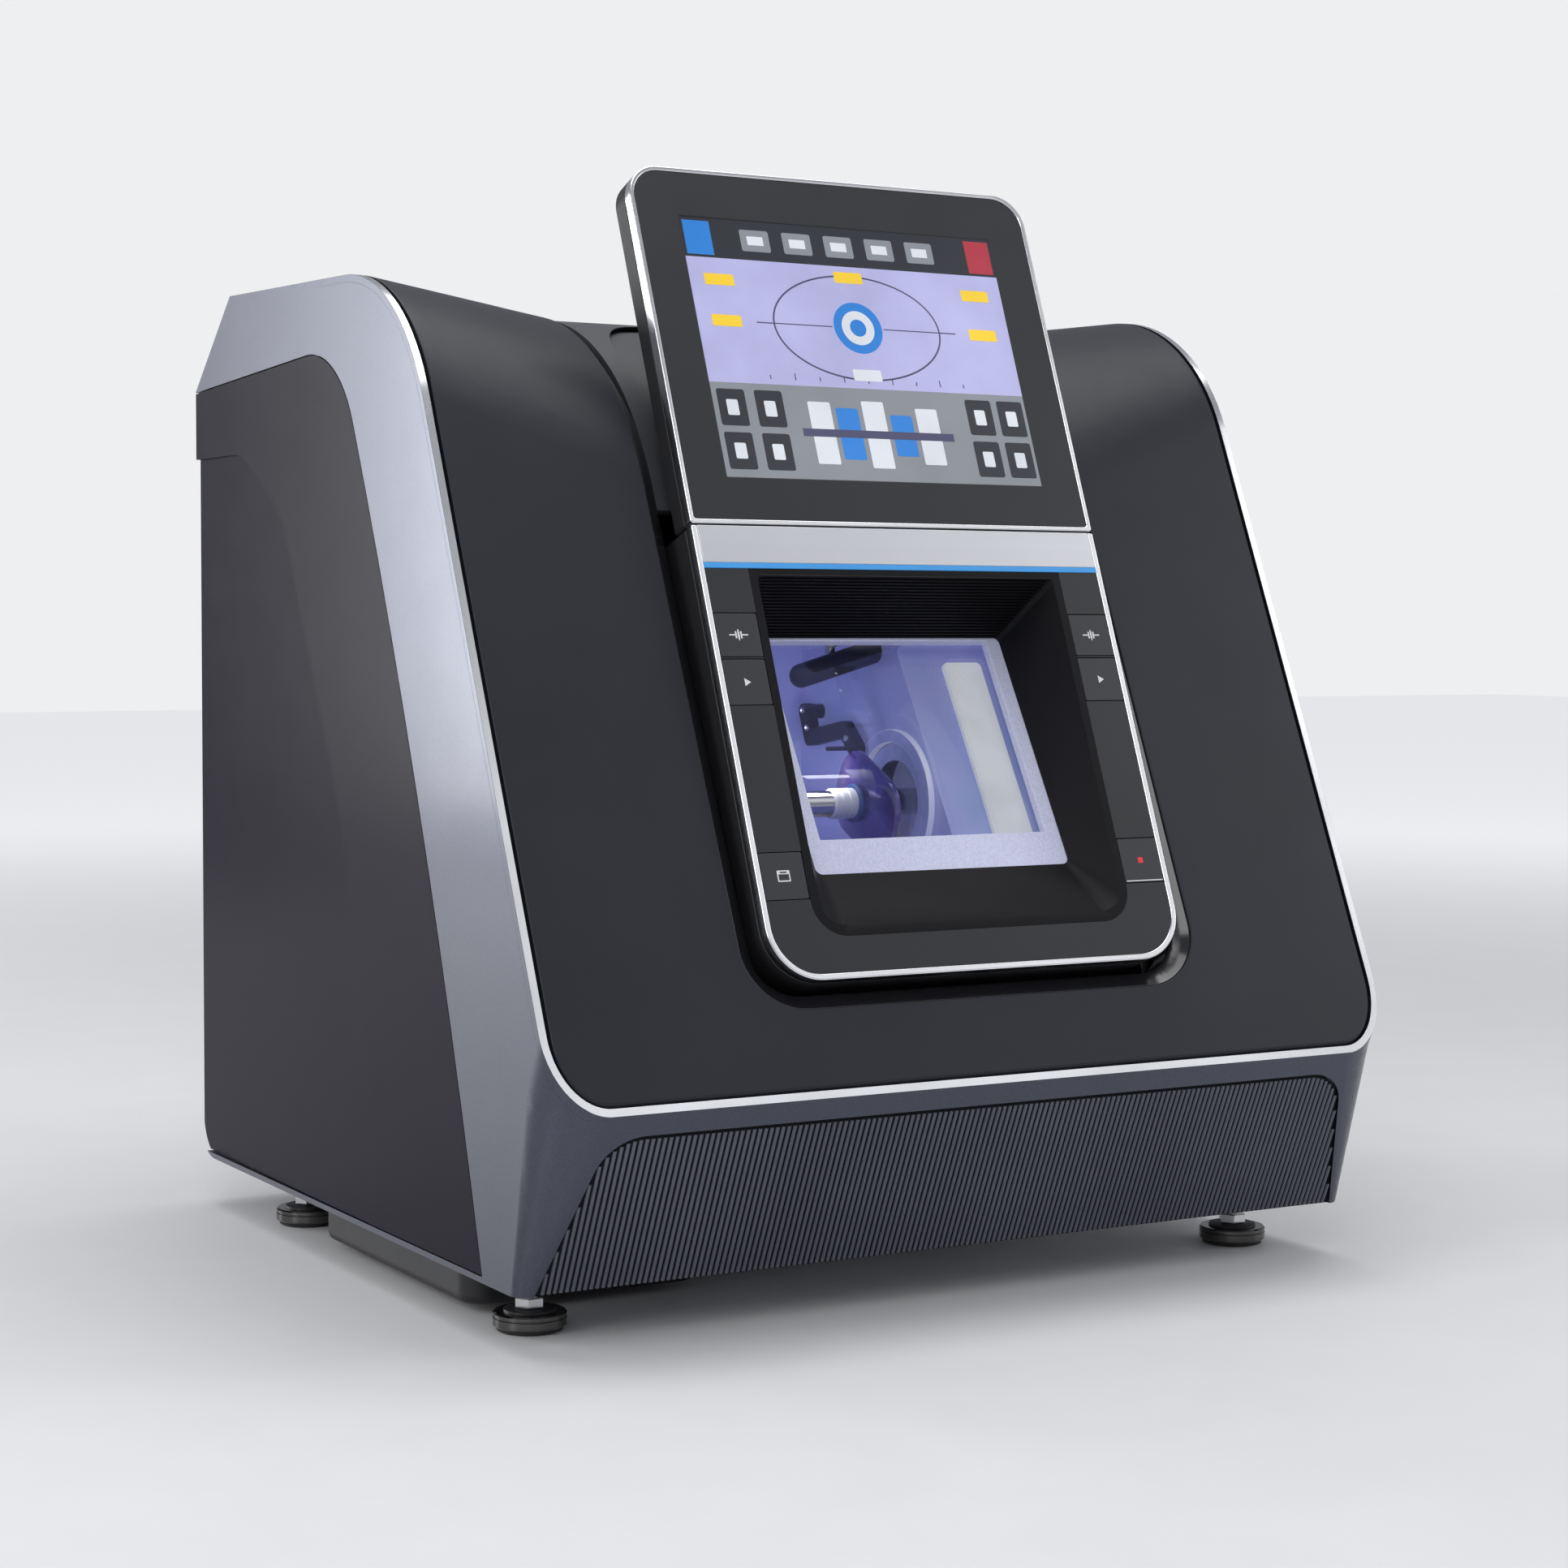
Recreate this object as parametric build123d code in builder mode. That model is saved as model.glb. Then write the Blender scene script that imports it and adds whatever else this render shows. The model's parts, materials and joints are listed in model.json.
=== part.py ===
"""Table-top optical lens edger: one STEP file for each separate piece.

Millimetres, +X to the right, +Y to the rear, +Z up. The origin is on the floor, under the middle
of the body. The front cover leans back, the tower leans back a little less, and the chamber door
leans back more than either, so each of them has a working plane of its own.
"""

from build123d import *

import os
from math import atan, atan2, cos, degrees, pi, radians, sin, sqrt, tan

os.makedirs("parts", exist_ok=True)

# ---- Driving dimensions ------------------------------------------------------------------------

# Body shell
BODY_WIDTH = 500.0
BODY_DEPTH = 488.0
BODY_UNDERSIDE = 29.0
CHIN_SETBACK = 40.0
CHIN_CORNER_R = 31.0
CHIN_FOOT_CORNER_R = 8.0
CORNER_RUN = 2.0
TRIM_LINE_HEIGHT = 119.0
COVER_LEAN = 23.9
SIDE_TOP_HEIGHT = 527.4
SIDE_TOP_R = 114.0
MIDDLE_TOP_HEIGHT = 513.0
MIDDLE_TOP_R = 155.0
TOP_RISE_ANGLE = 1.4
REAR_SLOPE_RUN = 60.0
REAR_TOP_HEIGHT = 480.0
REAR_FOOT_R = 25.0
HOUSING_WALL = 6.0
COVER_WALL = 4.0
TRIM_WIDTH = 4.0
TRIM_GAP = 2.0
LEDGE_WIDTH = 10.0
LEDGE_THICK = 3.0
LEDGE_LENGTH = 340.0
SEAM_SETBACK = 285.0
SEAM_GAP = 1.0

# Side panels
PANEL_THICK = 4.0
PANEL_GAP = 0.8
PANEL_LIP = 14.0
PANEL_CORNER_R = 70.0
PANEL_FOOT_GAP = 3.0
PANEL_FOOT_SETBACK = 80.0
PANEL_MIDDLE = (152.0, 245.0)
PANEL_CREST = (262.5, 492.0)
PANEL_REAR_TOP = 480.2
PANEL_STEP = 2.6

# Stepped area of a side panel, as Y and Z
STEP_FADE_Y = -40.0
STEP_CORNER_R = 45.0
STEP_LINE = (
    (254.0, 441.0),
    (165.0, 441.0),
    (101.0, 402.0),
    (19.0, 246.0),
    (-32.0, 80.0),
    (-32.0, 0.0),
    (254.0, 0.0),
)

# Ribbed panel in the chin
RIB_PITCH = 3.2
RIB_WIDTH = 1.7
RIB_HEIGHT = 1.1
RIBBED_TOP_GAP = 13.0
RIBBED_TOP_WIDTH = 436.0
RIBBED_FOOT_WIDTH = 481.0
RIBBED_CORNER_R = 24.0
RIBBED_THICK = 3.2

# Slot in the cover, its liner and the panel behind the display
SLOT_WIDTH = 272.0
SLOT_FOOT = 45.0
SLOT_CORNER_R = 33.0
LINER_WIDTH = 9.0
LINER_DROP = 0.8
LINER_BEVEL = 7.0
LINER_DEPTH = 20.0
CENTRE_TOP_HEIGHT = 512.0
CENTRE_TOP_R = 150.0
CENTRE_SINK = 9.0
CENTRE_WALL = 5.0
CENTRE_FOOT = 316.0
ARCH_WIDTH = 232.0
ARCH_TOP = 458.0
ARCH_CORNER_R = 40.0
ARCH_SINK = 3.0

# Tower
TOWER_LEAN = 21.47
TOWER_FOOT_SETBACK = 17.3
TOWER_FOOT_HEIGHT = 174.0
TOWER_WIDTH = 247.4
TOWER_HEIGHT = 239.0
TOWER_CORNER_R = 28.0
TOWER_RIM_WIDTH = 3.2
TOWER_RIM_DEPTH = 7.0
TOWER_WALL = 4.0
TOWER_DEPTH = 60.0
TOWER_ROOF_DEPTH = 38.0
FASCIA_SINK = 0.4
FASCIA_THICK = 6.6
BAND_FOOT = 218.8
STRIP_HEIGHT = 3.0
BAND_THICK = 6.0

# Recess in the tower and the door behind it
RECESS_WIDTH = 182.0
RECESS_FOOT = 26.0
RECESS_TOP = 213.0
RECESS_FOOT_R = 14.0
RECESS_TOP_R = 4.0
RECESS_RIM = 4.5
RECESS_WALL = 3.0
BROW_RIBS = 20
BROW_RIB_HEIGHT = 0.9
DOOR_FOOT = 56.0
DOOR_FOOT_DEPTH = 20.0
DOOR_TOP = 197.0
DOOR_TOP_DEPTH = 42.0
DOOR_WIDTH = 160.0
DOOR_THICK = 5.0
DOOR_OVERLAP = 3.0
PANE_WIDTH = 138.0
PANE_FOOT = 22.5
PANE_TOP = 138.0
DOOR_TRAVEL = 128.0
RAIL_WIDTH = 6.6
SLIDE_GAP = 0.4
SCREW_R = 4.0
SCREW_OFFSET = 98.0
NUT_R = 7.0
NUT_HEIGHT = 14.0
SCREW_MOTOR_R = 9.0
SCREW_MOTOR_LENGTH = 18.0
TONGUE_WIDTH = 4.0
TONGUE_THICK = 2.0
RAIL_END = 4.0
PANE_SINK = 1.0
PANE_THICK = 3.0

# Keys
KEY_WIDTH = 24.4
KEY_THICK = 2.8
KEY_SINK = 0.4
KEY_GAP = 0.4
KEY_CORNER_R = 0.8
KEY_POCKET = 4.6
STEM_R = 3.0
CLAMP_KEY = (168.2, 191.4)
START_KEY = (142.6, 166.7)
LOWER_KEY = (41.5, 65.5)

# Display
DISPLAY_GAP = 1.0
DISPLAY_TOP = 442.6
DISPLAY_CORNER_R = 19.0
DISPLAY_FOOT_R = 2.0
DISPLAY_RIM_WIDTH = 2.6
DISPLAY_RIM_DEPTH = 7.0
DISPLAY_DEPTH = 18.0
SHELL_WALL = 2.5
SCREEN_WIDTH = 194.6
SCREEN_HEIGHT = 147.9
SCREEN_FOOT = 266.2
SCREEN_SINK = 0.8
SCREEN_THICK = 4.0
BEZEL_SINK = 0.5
BEZEL_THICK = 3.0
HINGE_HEIGHT = 248.0
HINGE_DEPTH = 31.0
HINGE_SPACING = 156.0
HINGE_ARM_WIDTH = 24.0
HINGE_EAR = 6.0
HINGE_KNUCKLE_R = 8.0
HINGE_PIN_R = 3.5

# Working chamber: the lens axis and the wheel axis run along X
LENS_AXIS = (-105.0, 251.0)
WHEEL_AXIS = (-76.0, 153.0)
CHAMBER_LEFT = -80.0
CHAMBER_RIGHT = 20.0
CHAMBER_BACK = -4.0
CHAMBER_FLOOR = 92.0
CHAMBER_CEILING = 346.0
TUB_WALL = 3.0
TRAY_DEPTH = 14.0
PORT_R = 22.0
RING_R = 39.0
RING_HEIGHT = 3.5
LAMP_WIDTH = 24.0
LAMP_OFFSET = 45.0
LAMP_THICK = 3.0
SPRAY_R = 6.5
SPRAY_END = (-33.0, -84.0, 317.0)
SPRAY_RISE = 15.0
NOZZLE_R = 4.0
NOZZLE_SPOT = (-2.0, -72.0)
NOZZLE_LENGTH = 12.0

# Lens carriage
PIVOT_AXIS = (56.0, 330.0)
PIVOT_R = 12.0
SLIDER_R = 17.0
SLIDER_WIDTH = 180.0
YOKE_TUBE_R = 23.0
YOKE_ARM_WIDTH = 10.0
YOKE_REACH = 108.5
RUNNING_GAP = 0.05
SLEEVE_R = 13.0
SEAL_R = 30.0
SEAL_THICK = 3.0
QUILL_R = 7.5
RIGHT_SHAFT_R = 4.0
LEFT_SHAFT_R = 7.0
SHAFT_CHAMFER = 1.0
ADAPTER_R = 8.2
PAD_R = 10.5
LENS_HALF_LENGTH = 31.0
LENS_HALF_HEIGHT = 23.0
LENS_THICK = 3.0
LENS_TILT = 26.0
LENS_CORNER_R = 19.0
LENS_CURVE_R = 85.0
LENS_LEFT = -5.0
ADAPTER_LEFT = -22.0
RIGHT_SEAL = 35.5
QUILL_START = 10.0
QUILL_END = 92.0
CLAMP_PAD_R = 9.0
CLAMP_PAD_START = -1.1
CLAMP_PAD_END = 5.0

# Wheels and their motor
WHEEL_R = 52.0
WHEEL_WIDTHS = (18.0, 16.0, 14.0, 12.0)
WHEEL_LEFT = -44.0
WHEEL_GROOVE = 1.2
BEVEL_GROOVE = 3.0
SPINDLE_R = 8.0
BEARING_HOUSING_R = 32.0
MOTOR_R = 47.0
MOTOR_LENGTH = 98.0
MOTOR_FINS = 12
SPINDLE_END = 150.0

# Feeler
FEELER_AXIS = (-26.0, 297.5)
FEELER_THICK = 6.0
FEELER_WIDTH = 9.0
FEELER_PATH = ((-26.0, 297.5), (-32.0, 283.0), (-68.0, 289.0), (-79.0, 279.0))
FEELER_PIN_R = 4.0
FEELER_LEFT = 8.0
STYLUS_LENGTH = 16.0
STYLUS_R = 1.2

# Chassis and base
PLATE_THICK = 6.0
UPRIGHT_THICK = 6.0
SHELF_TOP = 89.0
PUMP_BOX_SIZE = (135.0, 200.0)
PUMP_BOX_CENTRE = (-167.5, -14.0)
PUMP_BOX_FOOT = 5.0
PUMP_BOX_CORNER_R = 14.0
PUMP_BOX_EDGE_R = 5.0
UPRIGHT_LAP = 20.0
UPRIGHT_CREST_Y = -44.0
UPRIGHT_REAR_Y = 86.0
UPRIGHT_TOP = 400.0
SHELF_DEPTH = 130.0

# Feet
FOOT_SIDE_INSET = 32.3
FOOT_FRONT_SETBACK = 95.0
FOOT_REAR_SETBACK = 94.0
FOOT_R = 18.3
FOOT_HEIGHT = 11.0
FOOT_SOLE = 2.5
FOOT_STEP = 1.5
FOOT_COLLAR_INSET = 4.0
FOOT_HEX_HEIGHT = 5.0
FOOT_HEX_R = 6.4
STUD_R = 4.0

# Rear
FAN_CENTRE = (118.0, 330.0)
FAN_SIZE = 92.0
FAN_HUB_R = 19.0
FAN_DEPTH = 25.0
FAN_PIN_R = 2.5
FAN_BLADE_PITCH = 35.0
FAN_BLADES = 7
FAN_TIP_GAP = 2.0
INLET_CENTRE = (-165.0, 92.0)
SWITCH_CENTRE = (-165.0, 130.0)
FAN_RIM = 3.0
INLET_SIZE = (27.5, 20.0)
SWITCH_SIZE = (14.0, 24.0)
SWITCH_ANGLE = 6.0
ROCKER_REACH = 7.0
ROCKER_DISH = 2.0
ROCKER_GAP = 1.0
INLET_DEPTH = 24.0
INLET_WALL = 2.0
REAR_SCREW_R = 2.0
REAR_SCREW_HEAD_R = 3.8
REAR_SCREW_LENGTH = 10.0
SCREW_SPOTS = [(x, z) for x in (-230.0, -80.0, 80.0, 230.0) for z in (62.0, 466.0)]
VENT_CENTRE = (-60.0, 110.0)
VENT_SLOTS = 14
VENT_LENGTH = 60.0
VENT_WIDTH = 5.0

# ---- Values worked out from them ---------------------------------------------------------------

HALF_WIDTH = BODY_WIDTH / 2
FRONT_Y = -BODY_DEPTH / 2
REAR_Y = BODY_DEPTH / 2
LEAN = radians(COVER_LEAN)
CHIN_RISE = TRIM_LINE_HEIGHT - BODY_UNDERSIDE
CHIN_LENGTH = sqrt(CHIN_SETBACK**2 + CHIN_RISE**2)
CHIN_UP = (-CHIN_SETBACK / CHIN_LENGTH, CHIN_RISE / CHIN_LENGTH)
CHIN_IN = (CHIN_UP[1], -CHIN_UP[0])
SLANT_UP = (sin(LEAN), cos(LEAN))
INSET_RATIO = SLANT_UP[0] * CHIN_IN[0] + SLANT_UP[1] * CHIN_IN[1]
SEAM_Y = FRONT_Y + SEAM_SETBACK
COVER_HALF = HALF_WIDTH - TRIM_WIDTH - TRIM_GAP
INNER_HALF = HALF_WIDTH - HOUSING_WALL
SLOT_HALF = SLOT_WIDTH / 2
LINER_HALF = SLOT_HALF - LINER_WIDTH
TOWER_HALF = TOWER_WIDTH / 2
PLATE_FOOT = BODY_UNDERSIDE + COVER_WALL
PLATE_TOP = PLATE_FOOT + PLATE_THICK
RIM_INNER_HALF = TOWER_HALF - TOWER_RIM_WIDTH
RECESS_HALF = RECESS_WIDTH / 2
COLUMN_CENTRE = (RECESS_HALF + RECESS_RIM + RIM_INNER_HALF) / 2
DISPLAY_FOOT = TOWER_HEIGHT + DISPLAY_GAP
DISPLAY_HEIGHT = DISPLAY_TOP - DISPLAY_FOOT

COVER_PLANE = Plane(
    origin=(0, FRONT_Y, TRIM_LINE_HEIGHT), x_dir=(1, 0, 0), z_dir=(0, -cos(LEAN), sin(LEAN))
)
CHIN_PLANE = Plane(
    origin=(0, FRONT_Y, TRIM_LINE_HEIGHT), x_dir=(1, 0, 0), z_dir=(0, -CHIN_IN[0], -CHIN_IN[1])
)
CHIN_SECTION = Plane(
    origin=(0, FRONT_Y, TRIM_LINE_HEIGHT), x_dir=(1, 0, 0), z_dir=(0, CHIN_UP[0], CHIN_UP[1])
)
TOWER_PLANE = Plane(
    origin=(0, FRONT_Y + TOWER_FOOT_SETBACK, TOWER_FOOT_HEIGHT),
    x_dir=(1, 0, 0),
    z_dir=(0, -cos(radians(TOWER_LEAN)), sin(radians(TOWER_LEAN))),
)


def on_tower(height, depth):
    """Y and Z of a point at a height up the tower and a depth behind its face."""
    lean = radians(TOWER_LEAN)
    y = FRONT_Y + TOWER_FOOT_SETBACK + height * sin(lean) + depth * cos(lean)
    z = TOWER_FOOT_HEIGHT + height * cos(lean) - depth * sin(lean)
    return y, z


DOOR_FOOT_POINT = on_tower(DOOR_FOOT, DOOR_FOOT_DEPTH)
DOOR_TOP_POINT = on_tower(DOOR_TOP, DOOR_TOP_DEPTH)
DOOR_RUN = DOOR_TOP_POINT[0] - DOOR_FOOT_POINT[0]
DOOR_RISE = DOOR_TOP_POINT[1] - DOOR_FOOT_POINT[1]
DOOR_HEIGHT = sqrt(DOOR_RUN**2 + DOOR_RISE**2)
DOOR_LEAN = atan(DOOR_RUN / DOOR_RISE)
DOOR_PLANE = Plane(
    origin=(0, DOOR_FOOT_POINT[0], DOOR_FOOT_POINT[1]),
    x_dir=(1, 0, 0),
    z_dir=(0, -cos(DOOR_LEAN), sin(DOOR_LEAN)),
)


def on_door(height, depth):
    """Y and Z of a point at a height up the door's plane and a depth behind it."""
    y = DOOR_FOOT_POINT[0] + height * sin(DOOR_LEAN) + depth * cos(DOOR_LEAN)
    z = DOOR_FOOT_POINT[1] + height * cos(DOOR_LEAN) - depth * sin(DOOR_LEAN)
    return y, z


def on_slant(along, depth):
    """Y and Z of a point at a length up the front cover and a depth under its surface."""
    y = FRONT_Y + along * sin(LEAN) + depth * cos(LEAN)
    z = TRIM_LINE_HEIGHT + along * cos(LEAN) - depth * sin(LEAN)
    return y, z


def arc_centre(top, radius, sink):
    """Centre of the arc that joins the slant, sunk by a depth, to a top height."""
    along = (top - radius - TRIM_LINE_HEIGHT + (radius + sink) * sin(LEAN)) / cos(LEAN)
    return on_slant(along, radius + sink)


def top_height(top, radius, y, sink=0.0):
    """Height of the gently rising top at a place behind the arc."""
    return top + (y - arc_centre(top, radius, sink)[0]) * tan(radians(TOP_RISE_ANGLE))


def cover_band(top, radius, outer, inner, start, end_y, sink=0.0):
    """Closed band between two depths: up the slant, round the arc and back along the top."""
    centre = arc_centre(top, radius, sink)
    rear = top_height(top, radius, end_y, sink)
    with BuildSketch() as band:
        with BuildLine():
            outside = CenterArc(centre, radius - outer, 180 - COVER_LEAN, COVER_LEAN - 90)
            inside = CenterArc(centre, radius - inner, 180 - COVER_LEAN, COVER_LEAN - 90)
            foot_in = on_slant(start, sink + inner)
            foot_out = on_slant(start, sink + outer)
            Polyline(inside @ 0, foot_in, foot_out, outside @ 0)
            Polyline(outside @ 1, (end_y, rear - outer), (end_y, rear - inner), inside @ 1)
        make_face()
    return band.sketch


def side_outline():
    """Outline of the whole body seen from the side, as Y and Z."""
    centre = arc_centre(SIDE_TOP_HEIGHT, SIDE_TOP_R, 0)
    slope_y = REAR_Y - REAR_SLOPE_RUN
    slope_z = top_height(SIDE_TOP_HEIGHT, SIDE_TOP_R, slope_y)
    with BuildSketch() as outline:
        with BuildLine():
            crown = CenterArc(centre, SIDE_TOP_R, 180 - COVER_LEAN, COVER_LEAN - 90)
            Polyline(
                crown @ 1,
                (slope_y, slope_z),
                (REAR_Y, REAR_TOP_HEIGHT),
                (REAR_Y, BODY_UNDERSIDE),
                (FRONT_Y + CHIN_SETBACK, BODY_UNDERSIDE),
                (FRONT_Y, TRIM_LINE_HEIGHT),
                crown @ 0,
            )
        make_face()
        rear_foot = outline.vertices().sort_by(Axis.Y)[:2].sort_by(Axis.X)[-1]
        fillet(rear_foot, REAR_FOOT_R)
    return outline.sketch


def corner_section(radius, inset):
    """Section square to the chin, with rounded front corners, drawn in by an inset."""
    with BuildSketch() as section:
        with Locations((0, inset * INSET_RATIO)):
            Rectangle(BODY_WIDTH - 2 * inset, 3 * BODY_DEPTH, align=(Align.CENTER, Align.MIN))
        front = section.vertices().group_by(Axis.Y)[0]
        fillet(front, radius - inset)
    return section.sketch


def corner_column(inset):
    """Space inside the front corners: wide corners above, growing tighter down the chin."""
    with BuildPart() as column:
        with BuildSketch(CHIN_SECTION):
            add(corner_section(CHIN_CORNER_R, inset))
        extrude(amount=2 * BODY_DEPTH)
        with BuildSketch(CHIN_SECTION):
            add(corner_section(CHIN_CORNER_R, inset))
        extrude(amount=-CORNER_RUN)
        with BuildSketch(CHIN_SECTION.offset(-CORNER_RUN)):
            add(corner_section(CHIN_CORNER_R, inset))
        with BuildSketch(CHIN_SECTION.offset(-CHIN_LENGTH)):
            add(corner_section(CHIN_FOOT_CORNER_R, inset))
        loft(ruled=True)
        with BuildSketch(CHIN_SECTION.offset(-CHIN_LENGTH)):
            add(corner_section(CHIN_FOOT_CORNER_R, inset))
        extrude(amount=-BODY_DEPTH)
    return column.part


def slot_outline(half, foot, radius, top):
    """Outline of a slot with two rounded lower corners, on the cover's plane."""
    with BuildSketch() as outline:
        with Locations((0, foot)):
            Rectangle(2 * half, top - foot, align=(Align.CENTER, Align.MIN))
        fillet(outline.vertices().group_by(Axis.Y)[0], radius)
    return outline.sketch


def panel_outline(inset):
    """Outline of a side panel as Y and Z, drawn in by an inset."""
    foot = BODY_UNDERSIDE + PANEL_FOOT_GAP
    with BuildSketch() as outline:
        with BuildLine():
            edge = ThreePointArc(
                (FRONT_Y + PANEL_FOOT_SETBACK, foot),
                (FRONT_Y + PANEL_MIDDLE[0], PANEL_MIDDLE[1]),
                (FRONT_Y + PANEL_CREST[0], PANEL_CREST[1]),
            )
            Polyline(edge @ 1, (REAR_Y, PANEL_REAR_TOP), (REAR_Y, foot), edge @ 0)
        make_face()
        bend = outline.vertices().sort_by(Axis.Y)[-1]
        fillet(bend, PANEL_CORNER_R)
        if inset:
            offset(amount=-inset, kind=Kind.INTERSECTION)
    return outline.sketch


def tower_outline(inset, foot, top):
    """Outline of the tower's face with its two rounded lower corners, drawn in by an inset."""
    with BuildSketch() as outline:
        with Locations((0, foot)):
            Rectangle(TOWER_WIDTH - 2 * inset, top - foot, align=(Align.CENTER, Align.MIN))
        fillet(outline.vertices().group_by(Axis.Y)[0], TOWER_CORNER_R - inset)
    return outline.sketch


def recess_outline(grow, foot, top):
    """Outline of the recess in the tower's face, grown by a margin."""
    with BuildSketch() as outline:
        with Locations((0, foot - grow)):
            size = (RECESS_WIDTH + 2 * grow, top - foot + 2 * grow)
            Rectangle(*size, align=(Align.CENTER, Align.MIN))
        fillet(outline.vertices().group_by(Axis.Y)[0], RECESS_FOOT_R + grow)
        fillet(outline.vertices().group_by(Axis.Y)[-1], RECESS_TOP_R)
    return outline.sketch


def display_outline(inset):
    """Outline of the display, drawn in by an inset."""
    with BuildSketch() as outline:
        with Locations((0, DISPLAY_FOOT + inset)):
            size = (TOWER_WIDTH - 2 * inset, DISPLAY_HEIGHT - 2 * inset)
            Rectangle(*size, align=(Align.CENTER, Align.MIN))
        fillet(outline.vertices().group_by(Axis.Y)[-1], DISPLAY_CORNER_R - inset)
        fillet(outline.vertices().group_by(Axis.Y)[0], DISPLAY_FOOT_R)
    return outline.sketch


def save(piece, name):
    """Label a finished piece and write its STEP file."""
    piece.part.label = name
    export_step(piece.part, f"parts/{name}.step")


# ---- Body shell --------------------------------------------------------------------------------

body_side = side_outline()
front_layer = cover_band(SIDE_TOP_HEIGHT, SIDE_TOP_R, 0, COVER_WALL, 0, SEAM_Y)


def ribbed_outline(grow, foot):
    """Outline of the ribbed panel on the chin's plane, grown by a margin, down to a foot."""
    spread = (RIBBED_FOOT_WIDTH - RIBBED_TOP_WIDTH) / 2 / (CHIN_LENGTH - RIBBED_TOP_GAP)
    top_half = RIBBED_TOP_WIDTH / 2 + grow
    foot_half = top_half + spread * (foot - RIBBED_TOP_GAP)
    with BuildSketch() as outline:
        with BuildLine():
            Polyline(
                (-top_half, grow - RIBBED_TOP_GAP),
                (top_half, grow - RIBBED_TOP_GAP),
                (foot_half, -foot),
                (-foot_half, -foot),
                close=True,
            )
        make_face()
        fillet(outline.vertices().group_by(Axis.Y)[-1], RIBBED_CORNER_R + grow)
    return outline.sketch


def chin_point(rise, depth):
    """Y and Z of a point at a height up the chin and a depth behind its face."""
    y = FRONT_Y + rise * CHIN_UP[0] + depth * CHIN_IN[0]
    z = TRIM_LINE_HEIGHT + rise * CHIN_UP[1] + depth * CHIN_IN[1]
    return y, z


# Spaces inside the outer skin and inside the housing's wall
outer_column = corner_column(0)
wall_column = corner_column(HOUSING_WALL)

# Pocket that the ribbed panel sits in
with BuildPart() as ribbed_pocket:
    with BuildSketch(CHIN_PLANE.offset(PANEL_GAP)):
        add(ribbed_outline(PANEL_GAP, CHIN_LENGTH + HOUSING_WALL))
    extrude(amount=-PANEL_GAP - RIBBED_THICK)

# Hollow of the housing: everything behind the chin, the sides and the cover's ledge
LEDGE_DEPTH = COVER_WALL + LEDGE_THICK
with BuildPart() as housing_hollow:
    with BuildSketch(Plane.YZ):
        with BuildLine():
            Polyline(
                chin_point(-2 * CHIN_LENGTH, 0),
                chin_point(-LEDGE_DEPTH / INSET_RATIO, 0),
                on_slant(LEDGE_LENGTH, LEDGE_DEPTH),
                on_slant(LEDGE_LENGTH, -LEDGE_LENGTH),
                (REAR_Y + LEDGE_LENGTH, 2 * SIDE_TOP_HEIGHT),
                (REAR_Y + LEDGE_LENGTH, chin_point(-2 * CHIN_LENGTH, 0)[1]),
                close=True,
            )
        make_face()
    extrude(amount=INNER_HALF, both=True)
    add(wall_column, mode=Mode.INTERSECT)

# Gunmetal housing: chin and both sides in one moulding, open at the front, top, rear and foot
with BuildPart() as wrap_housing:
    with BuildSketch(Plane.YZ):
        add(body_side)
    extrude(amount=HALF_WIDTH, both=True)
    add(outer_column, mode=Mode.INTERSECT)
    with BuildSketch(Plane.YZ):
        add(front_layer)
    extrude(amount=HALF_WIDTH, both=True, mode=Mode.SUBTRACT)
    add(housing_hollow.part, mode=Mode.SUBTRACT)
    with BuildSketch(COVER_PLANE):
        with Locations((0, 2 * LEDGE_WIDTH)):
            size = (2 * (INNER_HALF - LEDGE_WIDTH), LEDGE_LENGTH)
            Rectangle(*size, align=(Align.CENTER, Align.MIN))
    extrude(amount=-LEDGE_DEPTH - LEDGE_THICK, mode=Mode.SUBTRACT)
    for side in (-1, 1):
        with BuildSketch(Plane.YZ.offset(side * HALF_WIDTH)):
            add(panel_outline(0))
        extrude(amount=-side * PANEL_THICK, mode=Mode.SUBTRACT)
        with BuildSketch(Plane.YZ.offset(side * HALF_WIDTH)):
            add(panel_outline(PANEL_LIP))
        extrude(amount=-side * 2 * HOUSING_WALL, mode=Mode.SUBTRACT)
    add(ribbed_pocket.part, mode=Mode.SUBTRACT)
save(wrap_housing, "wraparound_housing")

# Ribbed panel in the chin: a plate with ribs that run up the chin
RIB_COUNT = 2 * int(RIBBED_FOOT_WIDTH / RIB_PITCH / 2) + 1
with BuildPart() as ribbed_panel:
    with BuildSketch(CHIN_PLANE.offset(-RIB_HEIGHT)):
        add(ribbed_outline(0, CHIN_LENGTH))
    extrude(amount=RIB_HEIGHT - RIBBED_THICK)
    with BuildSketch(CHIN_PLANE):
        with GridLocations(RIB_PITCH, 0, RIB_COUNT, 1):
            Rectangle(RIB_WIDTH, 2 * CHIN_LENGTH)
        add(ribbed_outline(0, CHIN_LENGTH), mode=Mode.INTERSECT)
    extrude(amount=-RIB_HEIGHT)
save(ribbed_panel, "front_ribbed_panel")

# Silver trim: a strip round the front cover, from one top corner down, across and up again
with BuildPart() as cover_trim:
    with BuildSketch(Plane.YZ):
        add(front_layer)
    extrude(amount=HALF_WIDTH, both=True)
    add(outer_column, mode=Mode.INTERSECT)
    add(corner_column(TRIM_WIDTH), mode=Mode.SUBTRACT)
save(cover_trim, "cover_trim")

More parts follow.
